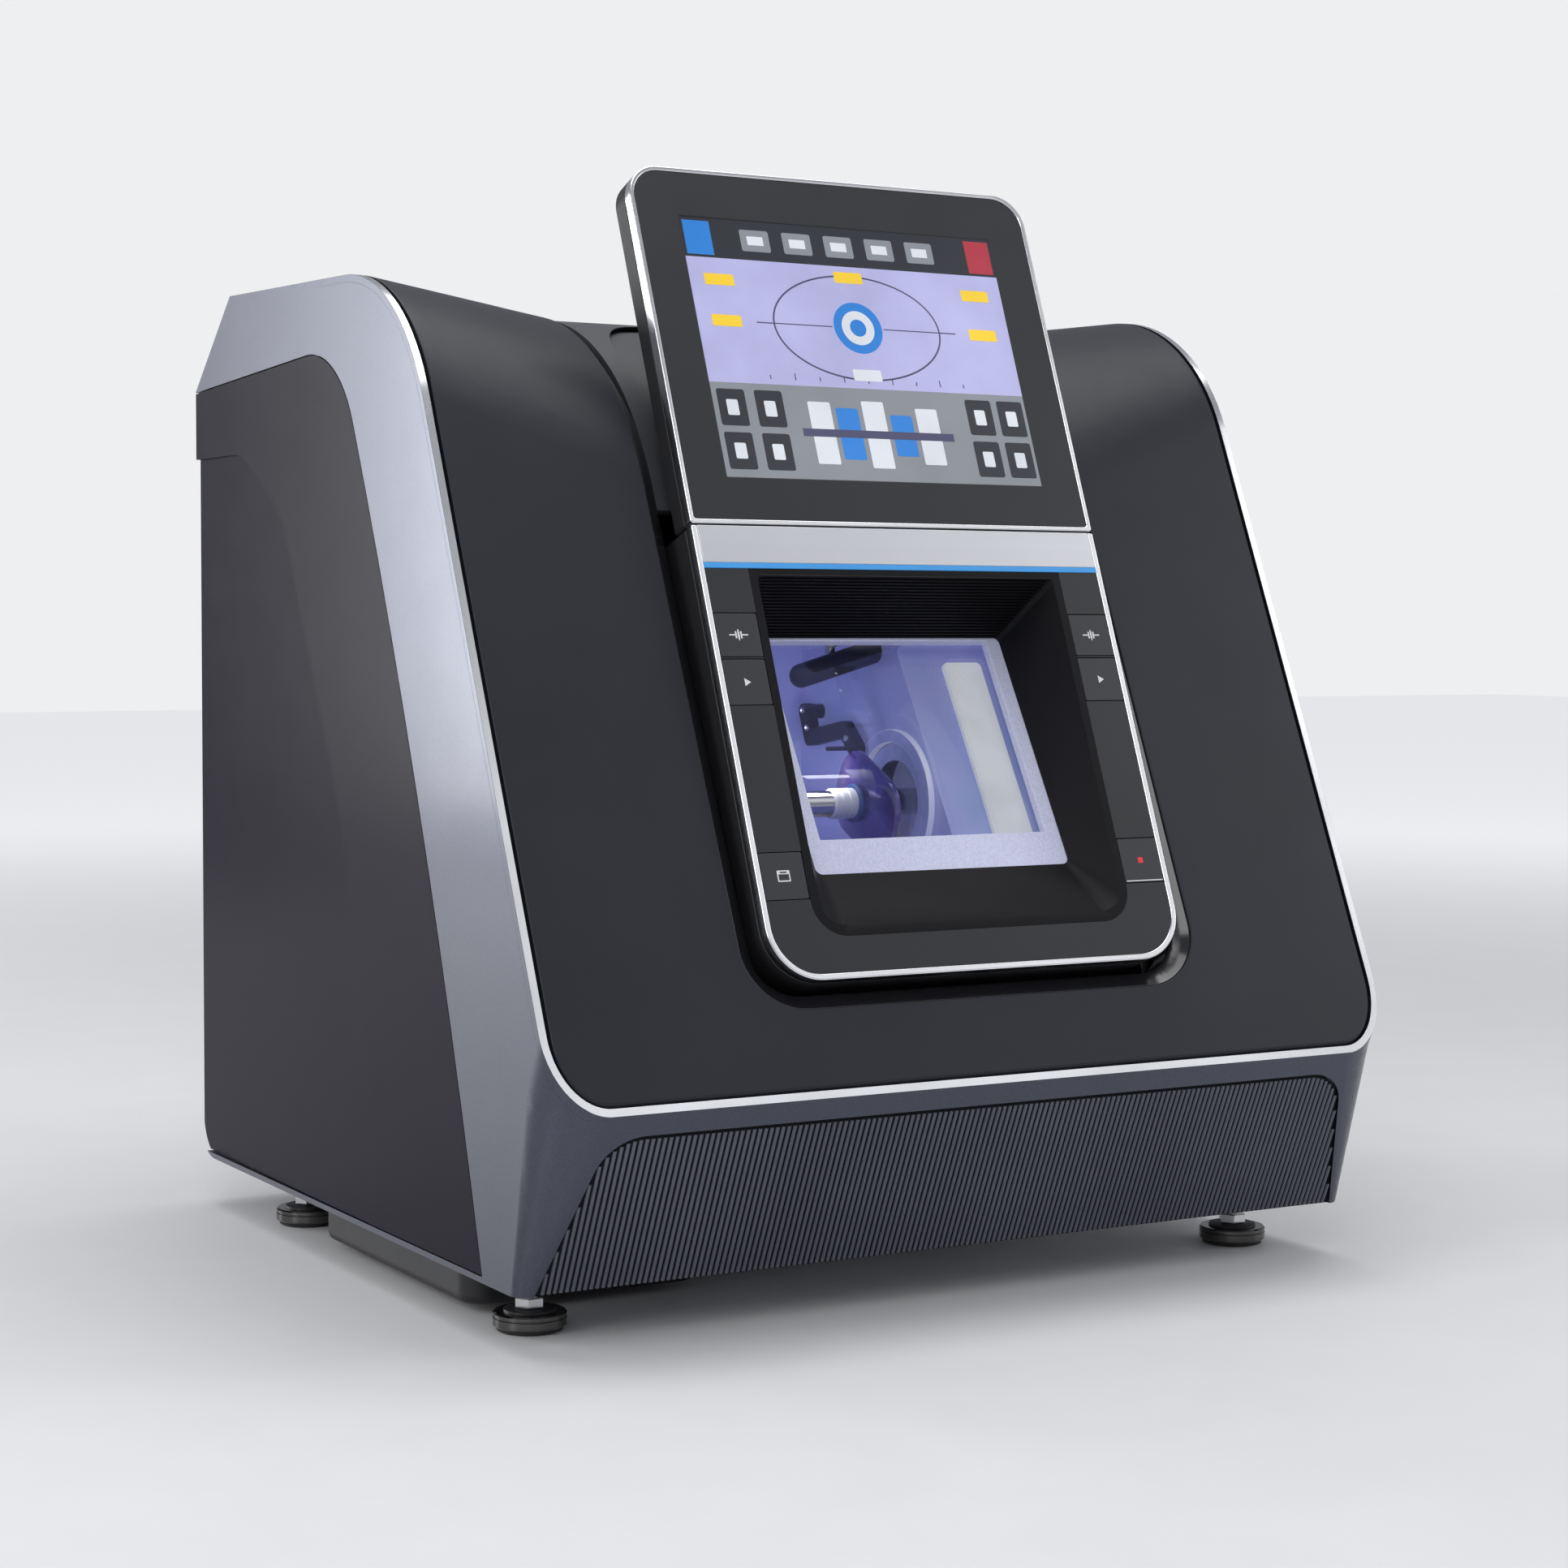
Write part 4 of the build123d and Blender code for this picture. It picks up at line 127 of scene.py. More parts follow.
class Grain(Enum):
    """The kinds of surface detail that a finish can have."""

    SATIN = "satin"
    FLAKE = "flake"
    BRUSHED = "brushed"
    STIPPLE = "stipple"
    TURNED = "turned"
    CLEAR = "clear"
    FROST = "frost"
    GLOW = "glow"
    GRIT = "grit"


@dataclass(frozen=True)
class Finish:
    """One surface finish, made as a procedural material on object coordinates."""

    name: str
    colour: Colour
    grain: Grain = Grain.SATIN
    roughness: float = 0.5
    metallic: float = 0.0
    coat: float = 0.0
    scale: float = 1500.0
    depth: float = 0.12
    contrast: float = 0.1
    glow: float = 0.0
    alpha: float = 1.0
    specular: float = 0.5
    other: Colour | None = None

    def material(self) -> bpy.types.Material:
        """Returns the material, made on its first use."""
        found = bpy.data.materials.get(self.name)
        if found:
            return found
        made = bpy.data.materials.new(self.name)
        made.use_nodes = True
        made.diffuse_color = (*self.colour, 1.0)
        bench = NodeBench(made.node_tree)
        shader = made.node_tree.nodes["Principled BSDF"]
        bench.feed(shader, {
            "Metallic": self.metallic,
            "Coat Weight": self.coat,
            "Coat Roughness": COAT_ROUGHNESS,
            "IOR": PLASTIC_IOR,
            "Specular IOR Level": self.specular,
            "Alpha": self.alpha,
            "Emission Strength": self.glow,
        })
        if self.grain is Grain.CLEAR:
            bench.feed(shader, {"Transmission Weight": 1.0})
        place = bench.add("ShaderNodeTexCoord").outputs["Object"]
        self._tint(bench, shader, place)
        self._roughen(bench, shader, place)
        self._relief(bench, shader, place)
        return made

    def _tint(self, bench: NodeBench, shader: bpy.types.Node, place: Socket) -> None:
        """Varies the colour: broad drifts, and specks where the grain has them."""
        drawn = self._stretched(bench, place)
        if self.grain in (Grain.FLAKE, Grain.FROST, Grain.GRIT):
            specks = {"Scale": self.scale, "Vector": drawn}
            value = bench.add("ShaderNodeTexVoronoi", specks).outputs["Color"]
        else:
            drift = {"Scale": DRIFT_SCALE, "Detail": 5.0, "Vector": drawn}
            value = bench.add("ShaderNodeTexNoise", drift).outputs["Fac"]
        ramp = bench.add("ShaderNodeValToRGB", {"Fac": value})
        low = [channel * (1.0 - self.contrast) for channel in self.colour]
        high = [min(1.0, channel * (1.0 + self.contrast)) for channel in self.other or self.colour]
        for stop, spot, colour in zip(ramp.color_ramp.elements, MIDDLE_BAND, (low, high)):
            stop.color = (*colour, 1.0)
            stop.position = spot
        bench.feed(shader, {"Base Color": ramp.outputs["Color"]})
        # Emission in the colour: the lamp's and screen's own light, and painted light on the other
        # glowing finishes.
        if self.glow:
            bench.feed(shader, {"Emission Color": ramp.outputs["Color"]})

    def _roughen(self, bench: NodeBench, shader: bpy.types.Node, place: Socket) -> None:
        """Varies the roughness softly, as handling and moulding leave it."""
        cloud = bench.add(
            "ShaderNodeTexNoise", {"Scale": HANDLING_SCALE, "Detail": 6.0, "Vector": place}
        )
        spread = bench.add("ShaderNodeMapRange", {
            "From Min": MIDDLE_BAND[0],
            "From Max": MIDDLE_BAND[1],
            "To Min": max(0.02, self.roughness * 0.95),
            "To Max": min(1.0, self.roughness * 1.05),
            "Value": cloud.outputs["Fac"],
        })
        bench.feed(shader, {"Roughness": spread.outputs["Result"]})

    def _relief(self, bench: NodeBench, shader: bpy.types.Node, place: Socket) -> None:
        """Adds the fine relief of the grain through a bump."""
        if self.grain in (Grain.CLEAR, Grain.GLOW):
            return
        form = {"Scale": self.scale, "Vector": self._stretched(bench, place)}
        if self.grain is Grain.STIPPLE:
            relief = bench.add("ShaderNodeTexVoronoi", form, feature="SMOOTH_F1")
            value = relief.outputs["Distance"]
        else:
            value = bench.add("ShaderNodeTexNoise", {"Detail": 3.0, **form}).outputs["Fac"]
        bump = bench.add(
            "ShaderNodeBump",
            {"Strength": self.depth, "Distance": RELIEF_HEIGHT, "Height": value},
        )
        bench.feed(shader, {"Normal": bump.outputs["Normal"]})

    def _stretched(self, bench: NodeBench, place: Socket) -> Socket:
        """Draws the pattern out along X for brushed metal, and round X for turned metal."""
        scales = {Grain.BRUSHED: (0.012, 1.0, 1.0), Grain.TURNED: (1.0, 0.04, 0.04)}
        if self.grain not in scales:
            return place
        drawn = {"Scale": scales[self.grain], "Vector": place}
        return bench.add("ShaderNodeMapping", drawn).outputs["Vector"]


def lit(name: str, colour: Colour, glow: float = 0.6, other: Colour | None = None) -> Finish:
    """Returns the finish of one lit colour of the screen."""
    return Finish(f"finish_screen_{name}", colour, Grain.GLOW, 0.2, glow=glow, other=other)


CHARCOAL = Finish("finish_charcoal", (0.016, 0.018, 0.025), roughness=0.42, specular=0.32)
GUNMETAL = Finish(
    "finish_gunmetal", (0.072, 0.077, 0.104), Grain.FLAKE, 0.3, 0.85, 0.15, 3800.0, 0.04, 0.14
)
VIOLET_BLACK = Finish(
    "finish_violet_black", (0.009, 0.007, 0.016), roughness=0.26, specular=0.04
)
RIB_GREY = Finish(
    "finish_rib_grey", (0.1, 0.105, 0.135), roughness=0.34, metallic=0.5, specular=0.5
)
# Near black between the ribs: painted shade in the grooves of the ribbed panel.
RIB_GROOVE_SHADE = Finish("finish_rib_groove_painted_shade", (0.004, 0.004, 0.006), roughness=0.6, specular=0.1)
PIANO = Finish("finish_piano", (0.012, 0.012, 0.015), roughness=0.16, coat=0.5, depth=0.02)
RECESS = Finish("finish_recess", (0.006, 0.006, 0.008), Grain.STIPPLE, 0.5, specular=0.16)
FASCIA = Finish("finish_fascia", (0.016, 0.017, 0.021), Grain.STIPPLE, 0.4, depth=0.1)
MOULDED = Finish("finish_moulded", (0.015, 0.015, 0.018), Grain.STIPPLE, 0.5, depth=0.2)
LEATHERETTE = Finish(
    "finish_centre", (0.05, 0.052, 0.06), Grain.STIPPLE, 0.5, scale=700.0, depth=0.35
)
SILVER = Finish("finish_silver", (0.86, 0.87, 0.89), roughness=0.2, metallic=1.0, depth=0.02)
BRUSHED = Finish(
    "finish_brushed", (0.68, 0.69, 0.72), Grain.BRUSHED, 0.38, 0.9, 0.0, 2600.0, 0.16, 0.2
)
# Blue strip: its glow is painted light, the strip is no lamp.
BLUE_PAINTED_GLOW = Finish("finish_blue_painted_glow", (0.035, 0.26, 0.62), roughness=0.3, coat=0.3, glow=0.25)
KEYCAP = Finish("finish_keycap", (0.024, 0.025, 0.03), roughness=0.38, coat=0.1)
# Key prints: their glow is painted light on the print, the keys have no lamp.
ICON_PAINTED_GLOW = Finish("finish_icon_painted_glow", (0.62, 0.62, 0.64), roughness=0.45, glow=0.12)
ICON_RED_PAINTED_GLOW = Finish("finish_icon_red_painted_glow", (0.62, 0.02, 0.03), roughness=0.4, glow=0.35)
# Chamber walls: the glow is painted light that stands in for the lamp's light in the chamber.
LILAC_PAINTED_GLOW = Finish(
    "finish_lilac_painted_glow", (0.2, 0.28, 0.58), roughness=0.3, coat=0.4, glow=0.2, depth=0.04,
    other=(0.27, 0.26, 0.56),
)
# Ring on the chamber wall: the glow is painted light, the ring is no lamp.
RING_WHITE_PAINTED_GLOW = Finish("finish_ring_white_painted_glow", (0.6, 0.63, 0.8), roughness=0.3, coat=0.4, glow=0.25)
# Frosted door frame: the glow is painted light, the frame is no lamp.
FROSTED_PAINTED_GLOW = Finish(
    "finish_frosted_painted_glow", (0.56, 0.58, 0.76), Grain.FROST, 0.4, 0.0, 0.4, 1400.0, 0.2, 0.07, 0.1
)
CLEAR = Finish("finish_clear", (0.96, 0.97, 1.0), Grain.CLEAR, 0.02, alpha=0.1)
# Lens: the glow is painted light, the lens is no lamp.
TINTED_PAINTED_GLOW = Finish(
    "finish_tinted_painted_glow", (0.004, 0.045, 0.2), roughness=0.1, metallic=0.45, coat=0.8, glow=0.1,
    other=(0.09, 0.012, 0.2),
)
LAMP = Finish("finish_lamp", (0.5, 0.52, 0.54), Grain.GLOW, 0.5, glow=0.5, contrast=0.16)
ALUMINIUM = Finish(
    "finish_aluminium", (0.6, 0.61, 0.63), Grain.BRUSHED, 0.38, 0.95, scale=1600.0
)
STEEL = Finish("finish_steel", (0.66, 0.66, 0.67), Grain.TURNED, 0.14, 1.0, depth=0.05)
BLACK_CHROME = Finish(
    "finish_black_chrome", (0.13, 0.125, 0.12), Grain.TURNED, 0.1, 1.0, depth=0.03
)
RUBBER = Finish("finish_rubber", (0.02, 0.02, 0.02), Grain.STIPPLE, 0.75, depth=0.3)
COARSE_GRIT = Finish(
    "finish_coarse_grit", (0.2, 0.19, 0.18), Grain.GRIT, 0.8, 0.3, 0.0, 1600.0, 0.7, 0.5
)
MEDIUM_GRIT = Finish(
    "finish_medium_grit", (0.32, 0.27, 0.2), Grain.GRIT, 0.7, 0.3, 0.0, 2600.0, 0.5, 0.35
)
FINE_GRIT = Finish(
    "finish_fine_grit", (0.42, 0.4, 0.36), Grain.GRIT, 0.6, 0.3, 0.0, 4200.0, 0.35, 0.2
)
ADAPTER_WHITE = Finish("finish_adapter_white", (0.7, 0.72, 0.78), roughness=0.35, coat=0.3)
PAD_BLUE = Finish("finish_pad_blue", (0.02, 0.05, 0.2), Grain.STIPPLE, 0.5, depth=0.2)
SCREEN_DARK = lit("dark", (0.02, 0.022, 0.028))
SCREEN_BLUE = lit("blue", (0.02, 0.14, 0.42), 0.7)
SCREEN_RED = lit("red", (0.3, 0.03, 0.045), 0.5)
SCREEN_GREY = lit("grey", (0.17, 0.18, 0.2))
SCREEN_PALE = lit("pale", (0.5, 0.52, 0.56), 0.55)
SCREEN_LILAC = lit("lilac", (0.27, 0.27, 0.44), 0.7, (0.3, 0.3, 0.48))
SCREEN_INK = lit("ink", (0.05, 0.05, 0.1))
SCREEN_YELLOW = lit("yellow", (0.62, 0.42, 0.03))
FLOOR = Finish("finish_floor", (0.78, 0.78, 0.79), roughness=0.5, contrast=0.01, depth=0.01)


Looks = dict[str, tuple[Finish, float]]


@dataclass(frozen=True)
class Slant:
    """A leaning plane: its foot in millimetres and its lean from the vertical in degrees."""

    foot_y: float
    foot_z: float
    lean: float

    def at(self, x: float, up: float, depth: float = 0.0) -> Vector:
        """Point on the plane.

        Args:
            x: place across, in millimetres.
            up: length up the plane.
            depth: depth behind it.

        Returns:
            The point in metres.
        """
        turn = math.radians(self.lean)
        y = self.foot_y + up * math.sin(turn) + depth * math.cos(turn)
        z = self.foot_z + up * math.cos(turn) - depth * math.sin(turn)
        return Vector((x, y, z)) * MM


TOWER = Slant(-226.7, 174.0, 21.47)
DOOR = Slant(-187.6, 218.8, 30.36)


def linked(name: str, data: bpy.types.ID) -> bpy.types.Object:
    """Returns a new object with the data, linked to the scene."""
    made = bpy.data.objects.new(name, data)
    bpy.context.scene.collection.objects.link(made)
    return made


def unloaded(work: bmesh.types.BMesh, name: str) -> bpy.types.Mesh:
    """Turns a work mesh into a plain mesh and frees it."""
    mesh = bpy.data.meshes.new(name)
    work.to_mesh(mesh)
    work.free()
    return mesh


def evaluated(holder: bpy.types.Object) -> bpy.types.Mesh:
    """Returns the mesh that a holder's modifiers make, and drops the holder."""
    bpy.context.view_layer.update()
    graph = bpy.context.evaluated_depsgraph_get()
    mesh = bpy.data.meshes.new_from_object(holder.evaluated_get(graph))
    holder.modifiers.clear()
    bpy.data.objects.remove(holder)
    return mesh


def smoothed(mesh: bpy.types.Mesh, crease: float | None = None) -> bpy.types.Mesh:
    """Shades a mesh smooth, with sharp edges above an angle in degrees where one is given."""
    for polygon in mesh.polygons:
        polygon.use_smooth = True
    if crease is not None:
        mesh.set_sharp_from_angle(angle=math.radians(crease))
    return mesh


class Workshop:
    """Makes meshes, turns them into pieces and hides the nodes that they stand in for."""

    def __init__(self, frame: dict) -> None:
        """Reads which body and finish slot each node belongs to."""
        self.nodes = frame["nodes"]
        record = frame["record"]
        self.body_of = {
            node: body for body, group in record["behaviour"]["bodies"].items() for node in group
        }
        self.slot_of = {entry["node"]: entry["material_slot"] for entry in record["subparts"]}
        self.left = set(self.nodes)

    def piece(
        self,
        name: str,
        mesh: bpy.types.Mesh,
        finish: Finish,
        node: str,
        stands_in: bool = False,
    ) -> bpy.types.Object:
        """Places a finished mesh in the scene as a piece of the object.

        Args:
            name: the piece's name.
            mesh: its mesh, in metres, in the frame's place.
            finish: the finish for the mesh's first slot, if it has none.
            node: the node that it belongs to.
            stands_in: whether it takes the node's place.

        Returns:
            The new object.
        """
        mesh.name = name
        if not mesh.materials:
            mesh.materials.append(finish.material())
        obj = linked(name, mesh)
        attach(obj, self.body_of[node])
        if stands_in:
            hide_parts(node)
            self.left.discard(node)
        LOG.info("%s: %d faces on %s", name, len(mesh.polygons), self.body_of[node])
        return obj

    def soften(
        self,
        node: str,
        finish: Finish,
        edge: float = 0.6,
        patches: Sequence[tuple[Finish, Rule]] = (),
    ) -> bpy.types.Object:
        """Copies a node's form and gives it rounded edges and smooth faces.

        Args:
            node: the node to stand in for.
            finish: its finish.
            edge: width of the rounding in millimetres.
            patches: other finishes, each with a rule on a face's middle and direction.

        Returns:
            The new piece.
        """
        work = bmesh.new()
        work.from_mesh(self.nodes[node].data)
        bmesh.ops.remove_doubles(work, verts=work.verts, dist=SAME_SPOT)
        bmesh.ops.dissolve_limit(
            work, angle_limit=math.radians(FLAT_ENOUGH), verts=work.verts, edges=work.edges
        )
        mesh = unloaded(work, f"{node}_form")
        mesh.materials.clear()
        mesh = self.rounded(mesh, edge)
        mesh.materials.append(finish.material())
        for index, (patch, rule) in enumerate(patches, 1):
            mesh.materials.append(patch.material())
            for polygon in mesh.polygons:
                if rule(polygon.center / MM, polygon.normal):
                    polygon.material_index = index
        return self.piece(f"{node}_finished", mesh, finish, node, stands_in=True)

    @staticmethod
    def rounded(mesh: bpy.types.Mesh, edge: float) -> bpy.types.Mesh:
        """Returns the mesh with bevelled edges and weighted smooth shading."""
        holder = linked("holder", mesh)
        bevel = holder.modifiers.new("edges", "BEVEL")
        bevel.width = edge * MM
        bevel.segments = 2
        bevel.limit_method = "ANGLE"
        bevel.angle_limit = math.radians(EDGE_CREASE)
        bevel.miter_outer = "MITER_ARC"
        smoothed(mesh)
        weigh = holder.modifiers.new("weigh", "WEIGHTED_NORMAL")
        weigh.keep_sharp = True
        return evaluated(holder)

    @staticmethod
    def from_rings(rings: Sequence[Sequence[Vector]], caps: bool = True) -> bpy.types.Mesh:
        """Skins a row of rings.

        Args:
            rings: the rings, each with the same number of points, in metres.
            caps: whether the first and last ring are closed by a face.

        Returns:
            The mesh, with its faces outwards.
        """
        work = bmesh.new()
        rows = [[work.verts.new(point) for point in ring] for ring in rings]
        count = len(rows[0])
        for lower, upper in zip(rows, rows[1:]):
            for index in range(count):
                after = (index + 1) % count
                work.faces.new((lower[index], lower[after], upper[after], upper[index]))
        if caps:
            work.faces.new(list(reversed(rows[0])))
            work.faces.new(rows[-1])
        bmesh.ops.remove_doubles(work, verts=work.verts, dist=1e-7)
        bmesh.ops.recalc_face_normals(work, faces=work.faces)
        return smoothed(unloaded(work, "skin"), SKIN_CREASE)

    @classmethod
    def lathe(
        cls,
        profile: Sequence[Flat],
        centre: Point,
        along: Vector,
        sides: int = 64,
        caps: bool = True,
    ) -> bpy.types.Mesh:
        """Turns a profile of radius and place along an axis.

        Args:
            profile: pairs of radius and distance along the axis, in millimetres.
            centre: the axis's start, in millimetres.
            along: the axis's direction.
            sides: faces round the axis.
            caps: whether the first and last ring are closed by a face.

        Returns:
            The turned mesh.
        """
        rings = [
            cls.ring([radius] * sides, distance, centre, along) for radius, distance in profile
        ]
        return cls.from_rings(rings, caps=caps)

    @staticmethod
    def ring(
        radii: Sequence[float], distance: float, centre: Point, along: Vector
    ) -> list[Vector]:
        """Places one ring square to an axis, with a radius for each of its points."""
        turn = Vector((0, 0, 1)).rotation_difference(along.normalized()).to_matrix()
        ring = []
        for step, radius in enumerate(radii):
            angle = 2 * math.pi * step / len(radii)
            spot = Vector((radius * math.cos(angle), radius * math.sin(angle), distance))
            ring.append((Vector(centre) + turn @ spot) * MM)
        return ring

    @classmethod
    def thread(
        cls,
        radius: float,
        pitch: float,
        span: Flat,
        centre: Point,
        along: Vector,
        starts: int = 1,
    ) -> bpy.types.Mesh:
        """Cuts a screw thread that winds round an axis.

        Args:
            radius: the radius over the crests, in millimetres.
            pitch: the distance from crest to crest.
            span: where the thread starts and ends along the axis.
            centre: the axis's start.
            along: the axis's direction.
            starts: how many threads wind side by side.

        Returns:
            The threaded rod, with closed ends.
        """
        sides, steps = 32, int((span[1] - span[0]) / pitch * 6)
        depth = 0.22 * pitch
        rings = []
        for step in range(steps + 1):
            distance = span[0] + (span[1] - span[0]) * step / steps
            radii = []
            for side in range(sides):
                phase = (distance / pitch - starts * side / sides) % 1.0
                radii.append(radius - depth * abs(2 * phase - 1))
            rings.append(cls.ring(radii, distance, centre, along))
        return cls.from_rings(rings)

    @staticmethod
    def plates(
        outlines: Iterable[tuple[Sequence[Vector], int]], away: Vector, thick: float
    ) -> bpy.types.Mesh:
        """Makes thin raised plates from flat outlines.

        Args:
            outlines: each outline in metres, with the material index of its plate.
            away: the direction in which the plates rise.
            thick: their thickness in millimetres.

        Returns:
            One mesh with all plates.
        """
        work = bmesh.new()
        rise = away.normalized() * thick * MM
        for outline, index in outlines:
            low = [work.verts.new(point) for point in outline]
            high = [work.verts.new(point + rise) for point in outline]
            faces = [work.faces.new(high), work.faces.new(list(reversed(low)))]
            for step in range(len(low)):
                after = (step + 1) % len(low)
                faces.append(work.faces.new((low[step], low[after], high[after], high[step])))
            for face in faces:
                face.material_index = index
        bmesh.ops.recalc_face_normals(work, faces=work.faces)
        return unloaded(work, "plates")

    @staticmethod
    def merged(
        meshes: Sequence[bpy.types.Mesh], finishes: Sequence[Finish] = ()
    ) -> bpy.types.Mesh:
        """Joins plain meshes into one.

        Args:
            meshes: the meshes.
            finishes: one finish for each mesh, where they have no materials yet.

        Returns:
            The joined mesh.
        """
        work = bmesh.new()
        for index, mesh in enumerate(meshes):
            before = len(work.faces)
            work.from_mesh(mesh)
            work.faces.ensure_lookup_table()
            for face in work.faces[before:] if finishes else ():
                face.material_index = index
        result = unloaded(work, "merged")
        for finish in finishes:
            result.materials.append(finish.material())
        result.set_sharp_from_angle(angle=math.radians(SKIN_CREASE))
        return result


class Repeater:
    """Places copies of a small form on points through a Geometry Nodes tree."""

    def __init__(self, name: str, finish: Finish) -> None:
        """Starts the tree.

        Args:
            name: the tree's name.
            finish: the finish of the copies.
        """
        self.tree = bpy.data.node_groups.new(name, "GeometryNodeTree")
        self.bench = NodeBench(self.tree)
        self.finish = finish
        face = self.tree.interface
        face.new_socket("Geometry", in_out="INPUT", socket_type="NodeSocketGeometry")
        face.new_socket("Geometry", in_out="OUTPUT", socket_type="NodeSocketGeometry")
        self.sizes: dict[str, float] = {}

    def size(self, name: str, value: float) -> None:
        """Adds a named input for one size, in metres."""
        self.tree.interface.new_socket(name, in_out="INPUT", socket_type="NodeSocketFloat")
        self.sizes[name] = value

    def ribs(self) -> None:
        """Half-round bars along each point's own Z, as long as its length says."""
        bench = self.bench
        source = bench.add("NodeGroupInput")
        given = source.outputs
        bar = bench.add("GeometryNodeCurvePrimitiveLine", {"End": (0.0, 0.0, 1.0)})
        ring = bench.add("GeometryNodeCurvePrimitiveCircle", {"Resolution": 10, "Radius": 1.0})
        sizes = {"X": given["Half width"], "Y": given["Height"], "Z": 1.0}
        shape = bench.add("ShaderNodeCombineXYZ", sizes).outputs["Vector"]
        squeeze = bench.add(
            "GeometryNodeTransform", {"Geometry": ring.outputs["Curve"], "Scale": shape}
        )
        sweep = bench.add("GeometryNodeCurveToMesh", {
            "Fill Caps": True,
            "Curve": bar.outputs["Curve"],
            "Profile Curve": squeeze.outputs["Geometry"],
        })
        self._scatter(source, sweep.outputs["Mesh"])

    def screws(self) -> None:
        """Low round heads with a hexagon socket, standing on the points."""
        bench = self.bench
        source = bench.add("NodeGroupInput")
        given = source.outputs
        taper = {0: given["Half width"], 1: HEAD_TAPER}
        rim = bench.add("ShaderNodeMath", taper, operation="MULTIPLY")
        head = bench.add("GeometryNodeMeshCone", {
            "Vertices": 32,
            "Radius Bottom": given["Half width"],
            "Radius Top": rim.outputs[0],
            "Depth": given["Height"],
        })
        bit = bench.add(
            "GeometryNodeMeshCylinder",
            {"Vertices": 6, "Radius": given["Socket"], "Depth": given["Height"]},
        )
        lift = bench.add("ShaderNodeCombineXYZ", {"Z": given["Height"]}).outputs["Vector"]
        raised = bench.add(
            "GeometryNodeTransform", {"Geometry": bit.outputs["Mesh"], "Translation": lift}
        )
        both = {"Mesh 1": head.outputs["Mesh"], "Mesh 2": raised.outputs["Geometry"]}
        drill = bench.add("GeometryNodeMeshBoolean", both, operation="DIFFERENCE")
        self._scatter(source, drill.outputs["Mesh"])

    @staticmethod
    def screw_heads(
        name: str, size: tuple[float, float, float], spots: Sequence[Vector], turn: Vector
    ) -> bpy.types.Mesh:
        """Makes a group of equal steel screw heads.

        Args:
            name: the tree's name.
            size: radius, height and socket radius in millimetres.
            spots: where they stand, in metres.
            turn: the Euler turn of all of them.

        Returns:
            One plain mesh of all heads.
        """
        maker = Repeater(name, STEEL)
        for label, value in zip(("Half width", "Height", "Socket"), size):
            maker.size(label, value * MM)
        maker.screws()
        return maker.run(spots, [turn] * len(spots), [Vector((1, 1, 1))] * len(spots))

    def _scatter(self, source: bpy.types.Node, form: Socket) -> None:
        """Puts the form on every point, turned and drawn out by the points' attributes."""
        bench = self.bench
        turn, reach = (
            bench.add("GeometryNodeInputNamedAttribute", {"Name": name}, data_type="FLOAT_VECTOR")
            for name in ("turn", "reach")
        )
        place = bench.add("GeometryNodeInstanceOnPoints", {
            "Points": source.outputs["Geometry"],
            "Instance": form,
            "Rotation": turn.outputs["Attribute"],
            "Scale": reach.outputs["Attribute"],
        })
        solid = bench.add(
            "GeometryNodeRealizeInstances", {"Geometry": place.outputs["Instances"]}
        )
        painted = {"Material": self.finish.material(), "Geometry": solid.outputs["Geometry"]}
        paint = bench.add("GeometryNodeSetMaterial", painted)
        bench.add("NodeGroupOutput", {"Geometry": paint.outputs["Geometry"]})

    def run(
        self, spots: Sequence[Vector], turns: Sequence[Vector], reaches: Sequence[Vector]
    ) -> bpy.types.Mesh:
        """Evaluates the tree on points.

        Args:
            spots: the points, in metres.
            turns: an Euler turn for each.
            reaches: a scale for each.

        Returns:
            A plain mesh of all copies.
        """
        points = bpy.data.meshes.new("points")
        points.from_pydata([tuple(spot) for spot in spots], [], [])
        for label, values in (("turn", turns), ("reach", reaches)):
            layer = points.attributes.new(label, "FLOAT_VECTOR", "POINT")
            for index, value in enumerate(values):
                layer.data[index].vector = value
        holder = linked("holder", points)
        modifier = holder.modifiers.new("repeat", "NODES")
        modifier.node_group = self.tree
        for item in self.tree.interface.items_tree:
            if item.in_out == "INPUT" and item.name in self.sizes:
                modifier[item.identifier] = self.sizes[item.name]
        return smoothed(evaluated(holder), COPY_CREASE)


